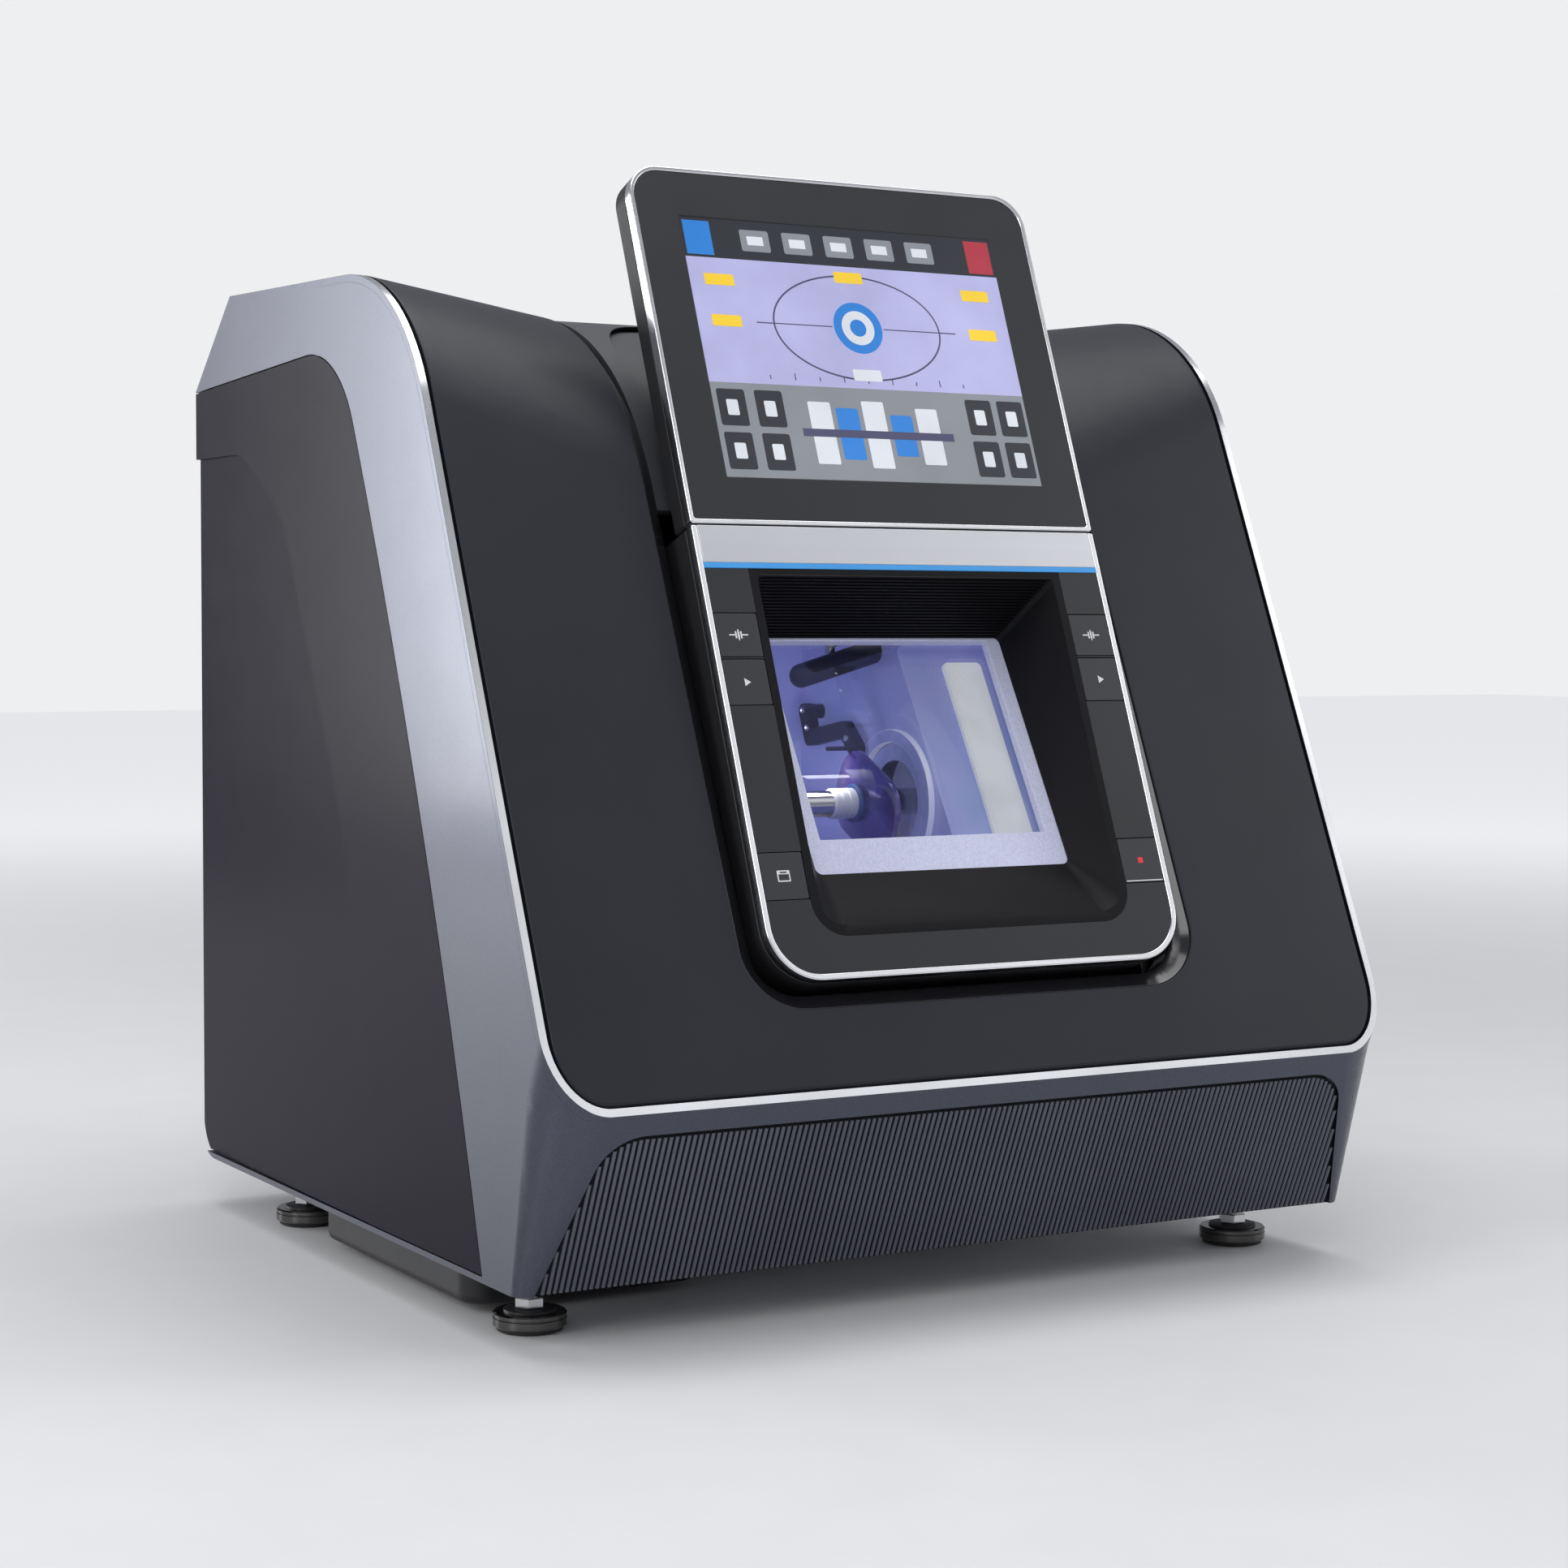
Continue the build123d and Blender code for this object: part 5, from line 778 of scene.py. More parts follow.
class Draughts:
    """Draws flat shapes on a slanted face and collects them as thin raised plates."""

    def __init__(self, slant: Slant, depth: float) -> None:
        """Keeps the face: its plane and its depth behind it, in millimetres."""
        self.slant = slant
        self.depth = depth
        self.shapes: dict[int, list[tuple[list[Vector], int]]] = {}
        self.finishes: list[Finish] = []

    def polygon(self, spots: Sequence[Flat], finish: Finish, layer: int = 1) -> None:
        """Adds a polygon.

        Args:
            spots: its corners, across and up the face, in millimetres.
            finish: its finish.
            layer: how many layers it stands above the face.
        """
        if finish not in self.finishes:
            self.finishes.append(finish)
        outline = [self.slant.at(x, up, self.depth) for x, up in spots]
        self.shapes.setdefault(layer, []).append((outline, self.finishes.index(finish)))

    def bar(
        self, low: Flat, high: Flat, finish: Finish, layer: int = 1, corner: float = 0.0
    ) -> None:
        """Adds an upright rectangle with rounded corners."""
        if not corner:
            spots = [low, (high[0], low[1]), high, (low[0], high[1])]
            self.polygon(spots, finish, layer)
            return
        spots = []
        middles = (
            (high[0] - corner, high[1] - corner, 0),
            (low[0] + corner, high[1] - corner, 90),
            (low[0] + corner, low[1] + corner, 180),
            (high[0] - corner, low[1] + corner, 270),
        )
        for x, up, start in middles:
            for step in range(5):
                angle = math.radians(start + step * 22.5)
                spots.append((x + corner * math.cos(angle), up + corner * math.sin(angle)))
        self.polygon(spots, finish, layer)

    def disc(
        self, centre: Flat, radii: Flat, finish: Finish, layer: int = 1, sides: int = 40
    ) -> None:
        """Adds an ellipse."""
        angles = [2 * math.pi * step / sides for step in range(sides)]
        spots = [
            (centre[0] + radii[0] * math.cos(angle), centre[1] + radii[1] * math.sin(angle))
            for angle in angles
        ]
        self.polygon(spots, finish, layer)

    def line(
        self, start: Flat, end: Flat, width: float, finish: Finish, layer: int = 1
    ) -> None:
        """Adds a straight stroke."""
        start, end = Vector(start), Vector(end)
        across = (end - start).orthogonal().normalized() * width / 2
        corners = (start + across, start - across, end - across, end + across)
        self.polygon([tuple(corner) for corner in corners], finish, layer)

    def mesh(self, thick: float = 0.05) -> bpy.types.Mesh:
        """Returns all shapes as one mesh of plates, one thickness per layer."""
        turn = math.radians(self.slant.lean)
        away = Vector((0.0, -math.cos(turn), math.sin(turn)))
        meshes = [
            Workshop.plates(group, away, thick * layer)
            for layer, group in sorted(self.shapes.items())
        ]
        result = Workshop.merged(meshes)
        for finish in self.finishes:
            result.materials.append(finish.material())
        return result


@dataclass
class Assembly:
    """A sub-assembly: the nodes whose form is kept, with their finishes, and its fine work."""

    shop: Workshop
    finishes: ClassVar[Looks] = {}

    def build(self) -> None:
        """Dresses the kept forms, then makes the fine work."""
        self.dress()
        self.detail()

    def dress(self) -> None:
        """Rounds and paints the nodes whose form is kept."""
        for node, (finish, edge) in self.finishes.items():
            self.shop.soften(node, finish, edge)

    def detail(self) -> None:
        """Makes what the kept forms leave out."""


@dataclass
class BodyShell(Assembly):
    """Housing, front cover, trim, liner and panels of the body."""

    chin_length: float = 98.49
    chin_up: Flat = (-0.40614, 0.91381)
    chin_foot: Flat = (-204.0, 29.0)
    rib_pitch: float = 3.2
    rib_width: float = 2.2
    rib_height: float = 1.1
    panel_thick: float = 3.2
    top_gap: float = 13.0
    top_half: float = 218.0
    foot_half: float = 240.5
    panel_corner: float = 24.0
    finishes: ClassVar[Looks] = {
        "wraparound_housing": (GUNMETAL, 1.2),
        "front_cover": (CHARCOAL, 0.8),
        "slot_liner": (PIANO, 0.7),
        "centre_panel": (LEATHERETTE, 0.8),
        "top_cover": (CHARCOAL, 1.2),
        "side_panel_left": (VIOLET_BLACK, 0.9),
        "side_panel_right": (VIOLET_BLACK, 0.9),
    }

    def detail(self) -> None:
        """Finishes the trim and makes the ribbed panel."""
        self.shop.soften("cover_trim", SILVER, 0.8, [(GUNMETAL, self._on_flank)])
        self._ribbed_panel()

    def _on_flank(self, middle: Vector, out: Vector) -> bool:
        """Tells whether a face is on the trim's outer side, which has the housing's colour."""
        return abs(out.x) > ASIDE or out.z < -ASIDE

    def _spot(self, x: float, depth: float, rise: float) -> Vector:
        """Point on the chin from a place across, a depth and a height above its foot."""
        up_y, up_z = self.chin_up
        y = self.chin_foot[0] + rise * up_y + depth * up_z
        z = self.chin_foot[1] + rise * up_z - depth * up_y
        return Vector((x, y, z)) * MM

    def _top(self, x: float) -> float:
        """Height of the ribbed panel's upper outline above the chin's foot."""
        x = abs(x)
        top = self.chin_length - self.top_gap
        slope = (self.foot_half - self.top_half) / top
        tilt = math.atan(slope)
        middle = self.top_half - self.panel_corner * (1.0 - math.sin(tilt)) / math.cos(tilt)
        if x <= middle:
            return top
        reach = x - middle
        if reach < self.panel_corner * math.cos(tilt):
            return top - self.panel_corner + math.sqrt(self.panel_corner**2 - reach**2)
        return max(0.0, top - (x - self.top_half) / slope)

    def _ribbed_panel(self) -> None:
        """Makes the panel let into the chin: a plate with half-round ribs."""
        rings = []
        steps = 240
        for step in range(steps + 1):
            x = self.foot_half * (2 * step / steps - 1)
            top = max(1.0, self._top(x))
            front, back = self.rib_height, self.panel_thick
            corners = ((front, 0.0), (front, top), (back, top), (back, 0.0))
            rings.append([self._spot(x, depth, rise) for depth, rise in corners])
        plate = Workshop.from_rings(rings)
        up = Vector((0.0, *self.chin_up))
        outward = Vector((0.0, -self.chin_up[1], self.chin_up[0]))
        turn = Vector(Matrix((outward.cross(up), outward, up)).transposed().to_euler())
        count = int(self.foot_half / self.rib_pitch)
        spots, reaches = [], []
        for step in range(-count, count + 1):
            x = step * self.rib_pitch
            length = self._top(x) - 2.2
            if length > 3.0:
                spots.append(self._spot(x, self.rib_height, 0.8))
                reaches.append(Vector((1.0, 1.0, length * MM)))
        maker = Repeater("rib_row", RIB_GREY)
        maker.size("Half width", self.rib_width / 2 * MM)
        maker.size("Height", (self.rib_height - 0.1) * MM)
        maker.ribs()
        ribs = maker.run(spots, [turn] * len(spots), reaches)
        # The plate between the ribs is near black: painted shade in the grooves.
        mesh = Workshop.merged([plate, ribs], (RIB_GROOVE_SHADE, RIB_GREY))
        self.shop.piece("front_ribbed_panel_finished", mesh, RIB_GREY, "front_ribbed_panel", True)


@dataclass
class Base(Assembly):
    """Chassis, pump box and levelling feet."""

    finishes: ClassVar[Looks] = {"chassis": (ALUMINIUM, 0.6), "pump_box": (MOULDED, 1.0)}
    foot_radius: float = 18.3
    foot_height: float = 11.0
    stud_radius: float = 4.0
    stud_top: float = 43.0
    stud_pitch: float = 1.5
    spacing: float = 217.7
    rows: dict[str, float] = field(default_factory=lambda: {"front": -149.0, "rear": 150.0})

    def detail(self) -> None:
        """Turns the feet."""
        for row, y in self.rows.items():
            for side, sign in (("left", -1), ("right", 1)):
                self._foot(f"foot_{row}_{side}", sign * self.spacing, y)

    def _foot(self, node: str, x: float, y: float) -> None:
        """Turns one foot: sole, grooved disc, collar, hexagon and threaded stud."""
        rim, top, up = self.foot_radius, self.foot_height, Vector((0, 0, 1))
        turned = (
            ([(0.0, 0.0), (rim - 3.2, 0.0), (rim - 1.9, 0.6), (rim - 1.6, 2.3), (0.0, 2.3)], 64),
            ([
                (0.0, 2.3), (rim - 0.9, 2.3), (rim, 3.1), (rim, 6.6), (rim - 0.5, 6.9),
                (rim - 0.5, 7.3), (rim, 7.6), (rim, 8.9), (rim - 0.8, 9.6), (0.0, 9.6),
            ], 80),
            ([(0.0, 9.6), (rim - 5.2, 9.6), (rim - 5.4, 10.7), (rim - 6.0, top), (0.0, top)], 64),
            ([
                (0.0, top), (7.0, top), (7.8, top + 0.6), (7.8, top + 5.0), (7.0, top + 5.6),
                (0.0, top + 5.6),
            ], 6),
        )
        meshes = [Workshop.lathe(profile, (x, y, 0.0), up, sides) for profile, sides in turned]
        span = (top + 5.6, self.stud_top)
        meshes.append(Workshop.thread(self.stud_radius, self.stud_pitch, span, (x, y, 0.0), up))
        mesh = Workshop.merged(meshes, (RUBBER, BLACK_CHROME, MOULDED, STEEL, STEEL))
        self.shop.piece(f"{node}_finished", mesh, BLACK_CHROME, node, True)


class Mark(Enum):
    """What is printed on a key."""

    CLAMP = "clamp"
    START = "start"
    DOOR = "door"
    STOP = "stop"


@dataclass
class Tower(Assembly):
    """The fixed tower with its rim, fascia, band, recess and keys."""

    column: float = 108.0
    key_sink: float = 0.4
    clamp_row: float = 179.8
    start_row: float = 154.6
    lower_row: float = 53.5
    finishes: ClassVar[Looks] = {
        "tower_rim": (SILVER, 0.7),
        "tower_housing": (MOULDED, 1.0),
        "tower_fascia": (FASCIA, 0.4),
        "recess_insert": (RECESS, 0.3),
        # The blue strip's glow is painted light.
        "blue_strip": (BLUE_PAINTED_GLOW, 0.3),
        "brushed_band": (BRUSHED, 0.4),
    }
    keys: ClassVar[dict[str, tuple[Mark, int]]] = {
        "key_clamp_left": (Mark.CLAMP, -1),
        "key_clamp_right": (Mark.CLAMP, 1),
        "key_start_left": (Mark.START, -1),
        "key_start_right": (Mark.START, 1),
        "key_door": (Mark.DOOR, -1),
        "key_stop": (Mark.STOP, 1),
    }

    def detail(self) -> None:
        """Finishes and prints the keys."""
        for node, (mark, side) in self.keys.items():
            self.shop.soften(node, KEYCAP, 0.35)
            sheet = Draughts(TOWER, self.key_sink)
            self._draw(sheet, mark, side * self.column)
            # The key prints glow: painted light.
            self.shop.piece(f"{node}_mark", sheet.mesh(), ICON_PAINTED_GLOW, node)

    def _draw(self, sheet: Draughts, mark: Mark, x: float) -> None:
        """Draws one key's mark round its middle."""
        if mark is Mark.CLAMP:
            up = self.clamp_row
            for side in (-1, 1):
                sheet.line((x + side * 1.9, up), (x + side * 5.4, up), 0.7, ICON_PAINTED_GLOW)
                sheet.line((x + side * 1.5, up - 1.9), (x + side * 1.5, up + 1.9), 0.9, ICON_PAINTED_GLOW)
            sheet.disc((x, up), (0.55, 3.1), ICON_PAINTED_GLOW)
        elif mark is Mark.START:
            up = self.start_row
            sheet.polygon([(x - 1.5, up - 2.1), (x + 2.1, up), (x - 1.5, up + 2.1)], ICON_PAINTED_GLOW)
        elif mark is Mark.DOOR:
            up = self.lower_row
            sheet.bar((x - 3.6, up - 2.9), (x + 3.6, up + 2.9), ICON_PAINTED_GLOW, 1, 0.4)
            sheet.bar((x - 2.9, up - 2.2), (x + 2.9, up + 0.9), KEYCAP, 2)
            sheet.bar((x - 1.9, up + 1.5), (x + 1.9, up + 2.2), KEYCAP, 2)
        else:
            up = self.lower_row
            sheet.bar((x - 1.5, up - 1.5), (x + 1.5, up + 1.5), ICON_RED_PAINTED_GLOW, 1, 0.3)
            sheet.bar((x - 11.6, up - 11.4), (x + 11.6, up - 10.8), ICON_PAINTED_GLOW)


@dataclass
class Display(Assembly):
    """The tilting touch display and the plain generic picture on its screen."""

    half_width: float = 97.3
    foot: float = 266.2
    height: float = 147.9
    sink: float = 0.8
    depth: float = 18.0
    screw_x: float = 106.0
    screw_rows: Flat = (275.0, 426.0)
    screw_radius: float = 3.0
    finishes: ClassVar[Looks] = {
        "display_rim": (SILVER, 0.7),
        "display_bezel": (FASCIA, 0.5),
        "touch_screen": (PIANO, 0.3),
        "display_back": (MOULDED, 1.2),
        "display_hinge_brackets": (STEEL, 0.4),
    }

    def detail(self) -> None:
        """Lights the screen and sets the screws."""
        sheet = Draughts(TOWER, self.sink)
        self._bar(sheet)
        self._field(sheet)
        self._tray(sheet)
        self.shop.piece("screen_picture", sheet.mesh(), PIANO, "touch_screen")
        self._back_screws()

    def _back_screws(self) -> None:
        """Sets four screws into the back shell."""
        lean = math.radians(TOWER.lean)
        away = Vector((0.0, math.cos(lean), -math.sin(lean)))
        turn = Vector(Vector((0, 0, 1)).rotation_difference(away).to_euler())
        spots = [
            TOWER.at(side * self.screw_x, up, self.depth)
            for side in (-1, 1)
            for up in self.screw_rows
        ]
        size = (self.screw_radius, 0.9, self.screw_radius * 0.5)
        mesh = Repeater.screw_heads("back_screws", size, spots, turn)
        self.shop.piece("display_back_screws", mesh, STEEL, "display_back")

    def _place(self, across: float, down: float) -> Flat:
        """Turns shares of the screen's width and height into millimetres."""
        return (2 * across - 1) * self.half_width, self.foot + (1 - down) * self.height

    def _box(
        self, sheet: Draughts, share: Share, finish: Finish, layer: int = 1, corner: float = 0.0
    ) -> None:
        """Draws a box from shares: left, top, right, bottom."""
        left, top, right, bottom = share
        sheet.bar(self._place(left, bottom), self._place(right, top), finish, layer, corner)

    def _bar(self, sheet: Draughts) -> None:
        """Draws the dark bar along the top with two coloured blocks."""
        self._box(sheet, (0.0, 0.0, 1.0, 0.155), SCREEN_DARK)
        self._box(sheet, (0.008, 0.012, 0.09, 0.145), SCREEN_BLUE, 2)
        self._box(sheet, (0.91, 0.012, 0.992, 0.145), SCREEN_RED, 2)
        for step in range(5):
            left = 0.18 + 0.132 * step
            self._box(sheet, (left, 0.035, left + 0.09, 0.12), SCREEN_GREY, 2, 1.2)
            self._box(sheet, (left + 0.02, 0.06, left + 0.07, 0.095), SCREEN_PALE, 3)

    def _field(self, sheet: Draughts) -> None:
        """Draws the lavender field with one large lens form, its rings and its scale."""
        self._box(sheet, (0.0, 0.155, 1.0, 0.64), SCREEN_LILAC)
        centre = self._place(0.5, 0.4)
        sheet.disc(centre, (52.0, 31.0), SCREEN_INK, 2, 64)
        sheet.disc(centre, (51.0, 30.0), SCREEN_LILAC, 3, 64)
        sheet.disc(centre, (15.0, 15.0), SCREEN_BLUE, 4)
        sheet.disc(centre, (10.0, 10.0), SCREEN_PALE, 5)
        sheet.disc(centre, (5.0, 5.0), SCREEN_BLUE, 6)
        sheet.line((centre[0] - 62, centre[1]), (centre[0] - 16, centre[1]), 0.6, SCREEN_INK, 4)
        sheet.line((centre[0] + 16, centre[1]), (centre[0] + 62, centre[1]), 0.6, SCREEN_INK, 4)
        for step in range(9):
            x = centre[0] - 60 + 15 * step
            low = self._place(0.0, 0.62)[1]
            sheet.line((x, low), (x, low + (4 if step % 2 else 2.4)), 0.6, SCREEN_INK, 2)
        for across, down in ((0.09, 0.24), (0.09, 0.4), (0.91, 0.24), (0.91, 0.4), (0.5, 0.2)):
            self._box(
                sheet, (across - 0.045, down - 0.022, across + 0.045, down + 0.022),
                SCREEN_YELLOW, 4, 0.8,
            )
        self._box(sheet, (0.455, 0.565, 0.545, 0.61), SCREEN_PALE, 4, 0.8)

    def _tray(self, sheet: Draughts) -> None:
        """Draws the grey tray with plain squares and a stack of wheel blocks."""
        self._box(sheet, (0.0, 0.64, 1.0, 1.0), SCREEN_GREY)
        for row in range(2):
            top = 0.665 + 0.165 * row
            for left in (0.015, 0.13, 0.8, 0.905):
                self._box(sheet, (left, top, left + 0.085, top + 0.14), SCREEN_DARK, 2, 1.4)
                self._box(
                    sheet, (left + 0.025, top + 0.04, left + 0.06, top + 0.1), SCREEN_PALE, 3, 0.8
                )
        for step, size in enumerate((0.24, 0.2, 0.26, 0.16, 0.22)):
            left = 0.29 + 0.085 * step
            finish = SCREEN_BLUE if step % 2 else SCREEN_PALE
            self._box(
                sheet, (left, 0.82 - size / 2, left + 0.07, 0.82 + size / 2), finish, 2, 0.9
            )
        self._box(sheet, (0.26, 0.805, 0.74, 0.835), SCREEN_INK, 3)


@dataclass
class Chamber(Assembly):
    """The wet chamber with its door, lamp, spray bar and nozzle."""

    screw_x: float = 98.0
    screw_radius: float = 3.8
    screw_pitch: float = 2.5
    screw_starts: int = 8
    screw_depth: float = 2.9
    screw_span: Flat = (-12.0, 274.7)
    ring_axis: Flat = (-105.0, 251.0)
    ring_radii: Flat = (31.0, 40.0)
    ring_left: float = 16.3
    outer_faces: tuple[float, float, float] = (-81.5, 21.5, -2.5)
    ledge: Flat = (24.0, 81.0)
    outer_levels: Flat = (300.0, 330.0)
    finishes: ClassVar[Looks] = {
        # The frosted door frame glows: painted light.
        "door_frame": (FROSTED_PAINTED_GLOW, 0.3),
        "door_pane": (CLEAR, 0.3),
        "door_rails": (ALUMINIUM, 0.3),
        "door_motor": (MOULDED, 0.5),
        "chamber_lamp": (LAMP, 0.4),
        "spray_bar": (RECESS, 0.4),
        "spray_nozzle": (STEEL, 0.3),
    }

    def detail(self) -> None:
        """Finishes the tub and cuts the door screw."""
        # The tub's lilac walls and white ring glow: painted light in place of the lamp's light.
        patches = [(RING_WHITE_PAINTED_GLOW, self._on_ring), (MOULDED, self._outside)]
        self.shop.soften("chamber_tub", LILAC_PAINTED_GLOW, 1.0, patches)
        turn = math.radians(DOOR.lean)
        along = Vector((0.0, math.sin(turn), math.cos(turn)))
        centre = tuple(DOOR.at(self.screw_x, 0.0, self.screw_depth) / MM)
        rod = Workshop.thread(
            self.screw_radius, self.screw_pitch, self.screw_span, centre, along, self.screw_starts
        )
        self.shop.piece("door_screw_finished", rod, STEEL, "door_screw", True)

    def _outside(self, middle: Vector, out: Vector) -> bool:
        """Tells whether a face is on the tub's outside, which is plain dark plastic."""
        if self._on_ring(middle, out):
            return False
        left, right, rear = self.outer_faces
        low, high = self.outer_levels
        beside = middle.x < left or middle.x > right
        flank = beside and abs(out.x) > 0.5 and not self.ledge[0] < middle.x < self.ledge[1]
        behind = (beside or middle.y > rear) and out.y > 0.5
        below = out.z < -ASIDE and middle.z < low
        above = out.z > ASIDE and middle.z > high
        return flank or behind or below or above

    def _on_ring(self, middle: Vector, out: Vector) -> bool:
        """Tells whether a face belongs to the raised ring on the right wall."""
        reach = math.hypot(middle.y - self.ring_axis[0], middle.z - self.ring_axis[1])
        low, high = self.ring_radii
        return self.ring_left < middle.x < self.ring_left + 3.6 and low < reach < high


@dataclass
class Carriage(Assembly):
    """Slider, yoke, quill and the two lens shafts with the lens between them."""

    lens_axis: Flat = (-105.0, 251.0)
    lens_half: Flat = (31.0, 23.0)
    lens_corner: float = 19.0
    lens_tilt: float = 26.0
    lens_curve: float = 85.0
    lens_thick: float = 3.0
    lens_left: float = -5.0
    adapter_left: float = -22.0
    adapter_radius: float = 8.2
    pad_radius: float = 10.5
    pad_thick: float = 3.0
    feeler_axis: Flat = (-26.0, 297.5)
    feeler_end: Flat = (-79.0, 279.0)
    feeler_left: float = 8.0
    arm_screw: tuple[float, float, float] = (1.9, 0.7, 0.9)
    seal_left: float = 35.5
    seal_radius: float = 30.2
    finishes: ClassVar[Looks] = {
        "pivot_shaft": (STEEL, 0.4),
        "carriage_slider": (ALUMINIUM, 0.5),
        "clamp_quill": (STEEL, 0.3),
        "lens_shaft_right": (STEEL, 0.3),
        "lens_shaft_left": (STEEL, 0.3),
        "feeler_arm": (RECESS, 0.5),
    }

    def detail(self) -> None:
        """Finishes the yoke and makes the adapter, the lens and the arm's screws."""
        # The seal disc takes the chamber's lilac with its painted glow.
        self.shop.soften("carriage_yoke", ALUMINIUM, 0.6, [(LILAC_PAINTED_GLOW, self._on_seal)])
        self._adapter()
        self._lens()
        self._arm_screws()

    def _on_seal(self, middle: Vector, out: Vector) -> bool:
        """Tells whether a face belongs to the disc that closes the tub's right port."""
        reach = math.hypot(middle.y - self.lens_axis[0], middle.z - self.lens_axis[1])
        return self.seal_left - 0.2 < middle.x < self.seal_left + 3.2 and reach < self.seal_radius

    def _adapter(self) -> None:
        """Turns the white adapter with its grooves, and the blue pad that grips the lens."""
        rim, start = self.adapter_radius, self.adapter_left
        end = self.lens_left - self.pad_thick
        holder = [(0.0, start), (rim - 1.0, start), (rim, start + 1.0)]
        for groove in (start + 3.6, start + 8.4):
            holder += [
                (rim, groove), (rim - 0.7, groove + 0.3), (rim - 0.7, groove + 1.1),
                (rim, groove + 1.4),
            ]
        holder += [(rim, end), (0.0, end)]
        grip = self.pad_radius
        pad = [
            (0.0, end), (grip - 0.8, end), (grip, end + 0.8), (grip, end + 1.9),
            (grip - 0.7, self.lens_left - 0.3), (0.0, self.lens_left - 0.05),
        ]
        centre, along = (0.0, *self.lens_axis), Vector((1, 0, 0))
        meshes = [Workshop.lathe(holder, centre, along, 48), Workshop.lathe(pad, centre, along, 48)]
        mesh = Workshop.merged(meshes, (ADAPTER_WHITE, PAD_BLUE))
        self.shop.piece("lens_adapter_finished", mesh, ADAPTER_WHITE, "lens_adapter", True)

    def _lens(self) -> None:
        """Grinds the dished lens with a bevelled edge all round."""
        stations = [(0.02, 0.0), *[(step / 12, 0.0) for step in range(1, 12)], (0.985, 0.0)]
        stations += [(1.0, 0.5), (0.985, 1.0)]
        stations += [(step / 12, 1.0) for step in range(11, 0, -1)] + [(0.02, 1.0)]
        rings = [
            [self._lens_spot(spot, scale, share) for spot in self._lens_outline()]
            for scale, share in stations
        ]
        # The lens glows faintly: painted light.
        self.shop.piece("lens_finished", Workshop.from_rings(rings), TINTED_PAINTED_GLOW, "lens", True)

    def _lens_outline(self) -> list[Flat]:
        """Returns the shaped outline, 18 steps to each rounded corner."""
        half_length, half_height = self.lens_half
        round_to = self.lens_corner
        spots = []
        for quarter, (side, level) in enumerate(((1, 1), (-1, 1), (-1, -1), (1, -1))):
            for step in range(19):
                angle = math.radians(quarter * 90 + step * 5)
                across = side * (half_length - round_to) + round_to * math.cos(angle)
                up = level * (half_height - round_to) + round_to * math.sin(angle)
                spots.append((across, up))
        return spots

    def _lens_spot(self, spot: Flat, scale: float, share: float) -> Vector:
        """Point of the lens: a place of the outline drawn in, between the two faces."""
        across, up = spot[0] * scale, spot[1] * scale
        square = across * across + up * up
        inner = self.lens_curve - self.lens_thick
        front = self.lens_curve - math.sqrt(self.lens_curve**2 - square)
        back = self.lens_curve - math.sqrt(inner**2 - square)
        turn = math.radians(self.lens_tilt)
        y = self.lens_axis[0] + across * math.cos(turn) - up * math.sin(turn)
        z = self.lens_axis[1] + across * math.sin(turn) + up * math.cos(turn)
        return Vector((self.lens_left + front + (back - front) * share, y, z)) * MM

    def _arm_screws(self) -> None:
        """Sets bright screws into the feeler's arm over its pin and its stylus."""
        low, high = self.feeler_axis, self.feeler_end
        spots = [
            Vector((self.feeler_left, low[0] + 0.5, low[1] + 0.5)) * MM,
            Vector((self.feeler_left, low[0] - 4.5, low[1] - 9.0)) * MM,
            Vector((self.feeler_left, high[0] + 6.0, high[1] + 5.2)) * MM,
        ]
        turn = Vector((0.0, -math.pi / 2, 0.0))
        mesh = Repeater.screw_heads("arm_screws", self.arm_screw, spots, turn)
        self.shop.piece("feeler_screws", mesh, STEEL, "feeler_arm")


@dataclass
class Grinder(Assembly):
    """The wheel set with its spindle, bearing housing and motor."""

    wheel_axis: Flat = (-76.0, 153.0)
    wheel_radius: float = 52.0
    bore: float = 8.0
    wheel_left: float = -44.0
    widths: tuple[float, ...] = (18.0, 16.0, 14.0, 12.0)
    joint: float = 1.2
    bevel: float = 2.8
    finishes: ClassVar[Looks] = {
        "wheel_spindle": (STEEL, 0.4),
        "spindle_housing": (ALUMINIUM, 0.6),
        "grinding_motor": (MOULDED, 0.6),
    }

    def detail(self) -> None:
        """Turns the four wheels, each with its own grit, the third with its bevel groove."""
        centre, along = (0.0, *self.wheel_axis), Vector((1, 0, 0))
        grits = (COARSE_GRIT, MEDIUM_GRIT, FINE_GRIT, MEDIUM_GRIT)
        meshes, left = [], self.wheel_left
        for index, width in enumerate(self.widths):
            low = left + (self.joint / 2 if index else 0.0)
            high = left + width - (self.joint / 2 if index < 3 else 0.0)
            rim, middle = self.wheel_radius, left + width / 2
            profile = [(self.bore, low), (rim - 0.7, low), (rim, low + 0.7)]
            if index == 2:
                profile += [
                    (rim, middle - self.bevel / 2), (rim - self.bevel / 2, middle),
                    (rim, middle + self.bevel / 2),
                ]
            profile += [(rim, high - 0.7), (rim - 0.7, high), (self.bore, high)]
            meshes.append(Workshop.lathe(profile + [profile[0]], centre, along, 128, caps=False))
            left += width
        mesh = Workshop.merged(meshes, grits)
        self.shop.piece("grinding_wheels_finished", mesh, FINE_GRIT, "grinding_wheels", True)


@dataclass
class RearFittings(Assembly):
    """Rear panel, its screws, the fan and the mains fittings."""

    finishes: ClassVar[Looks] = {
        "rear_panel": (MOULDED, 0.6),
        "rear_panel_screws": (STEEL, 0.25),
        "fan_frame": (MOULDED, 0.5),
        "fan_rotor": (PIANO, 0.3),
        "power_inlet": (MOULDED, 0.4),
        "power_switch": (FASCIA, 0.4),
    }


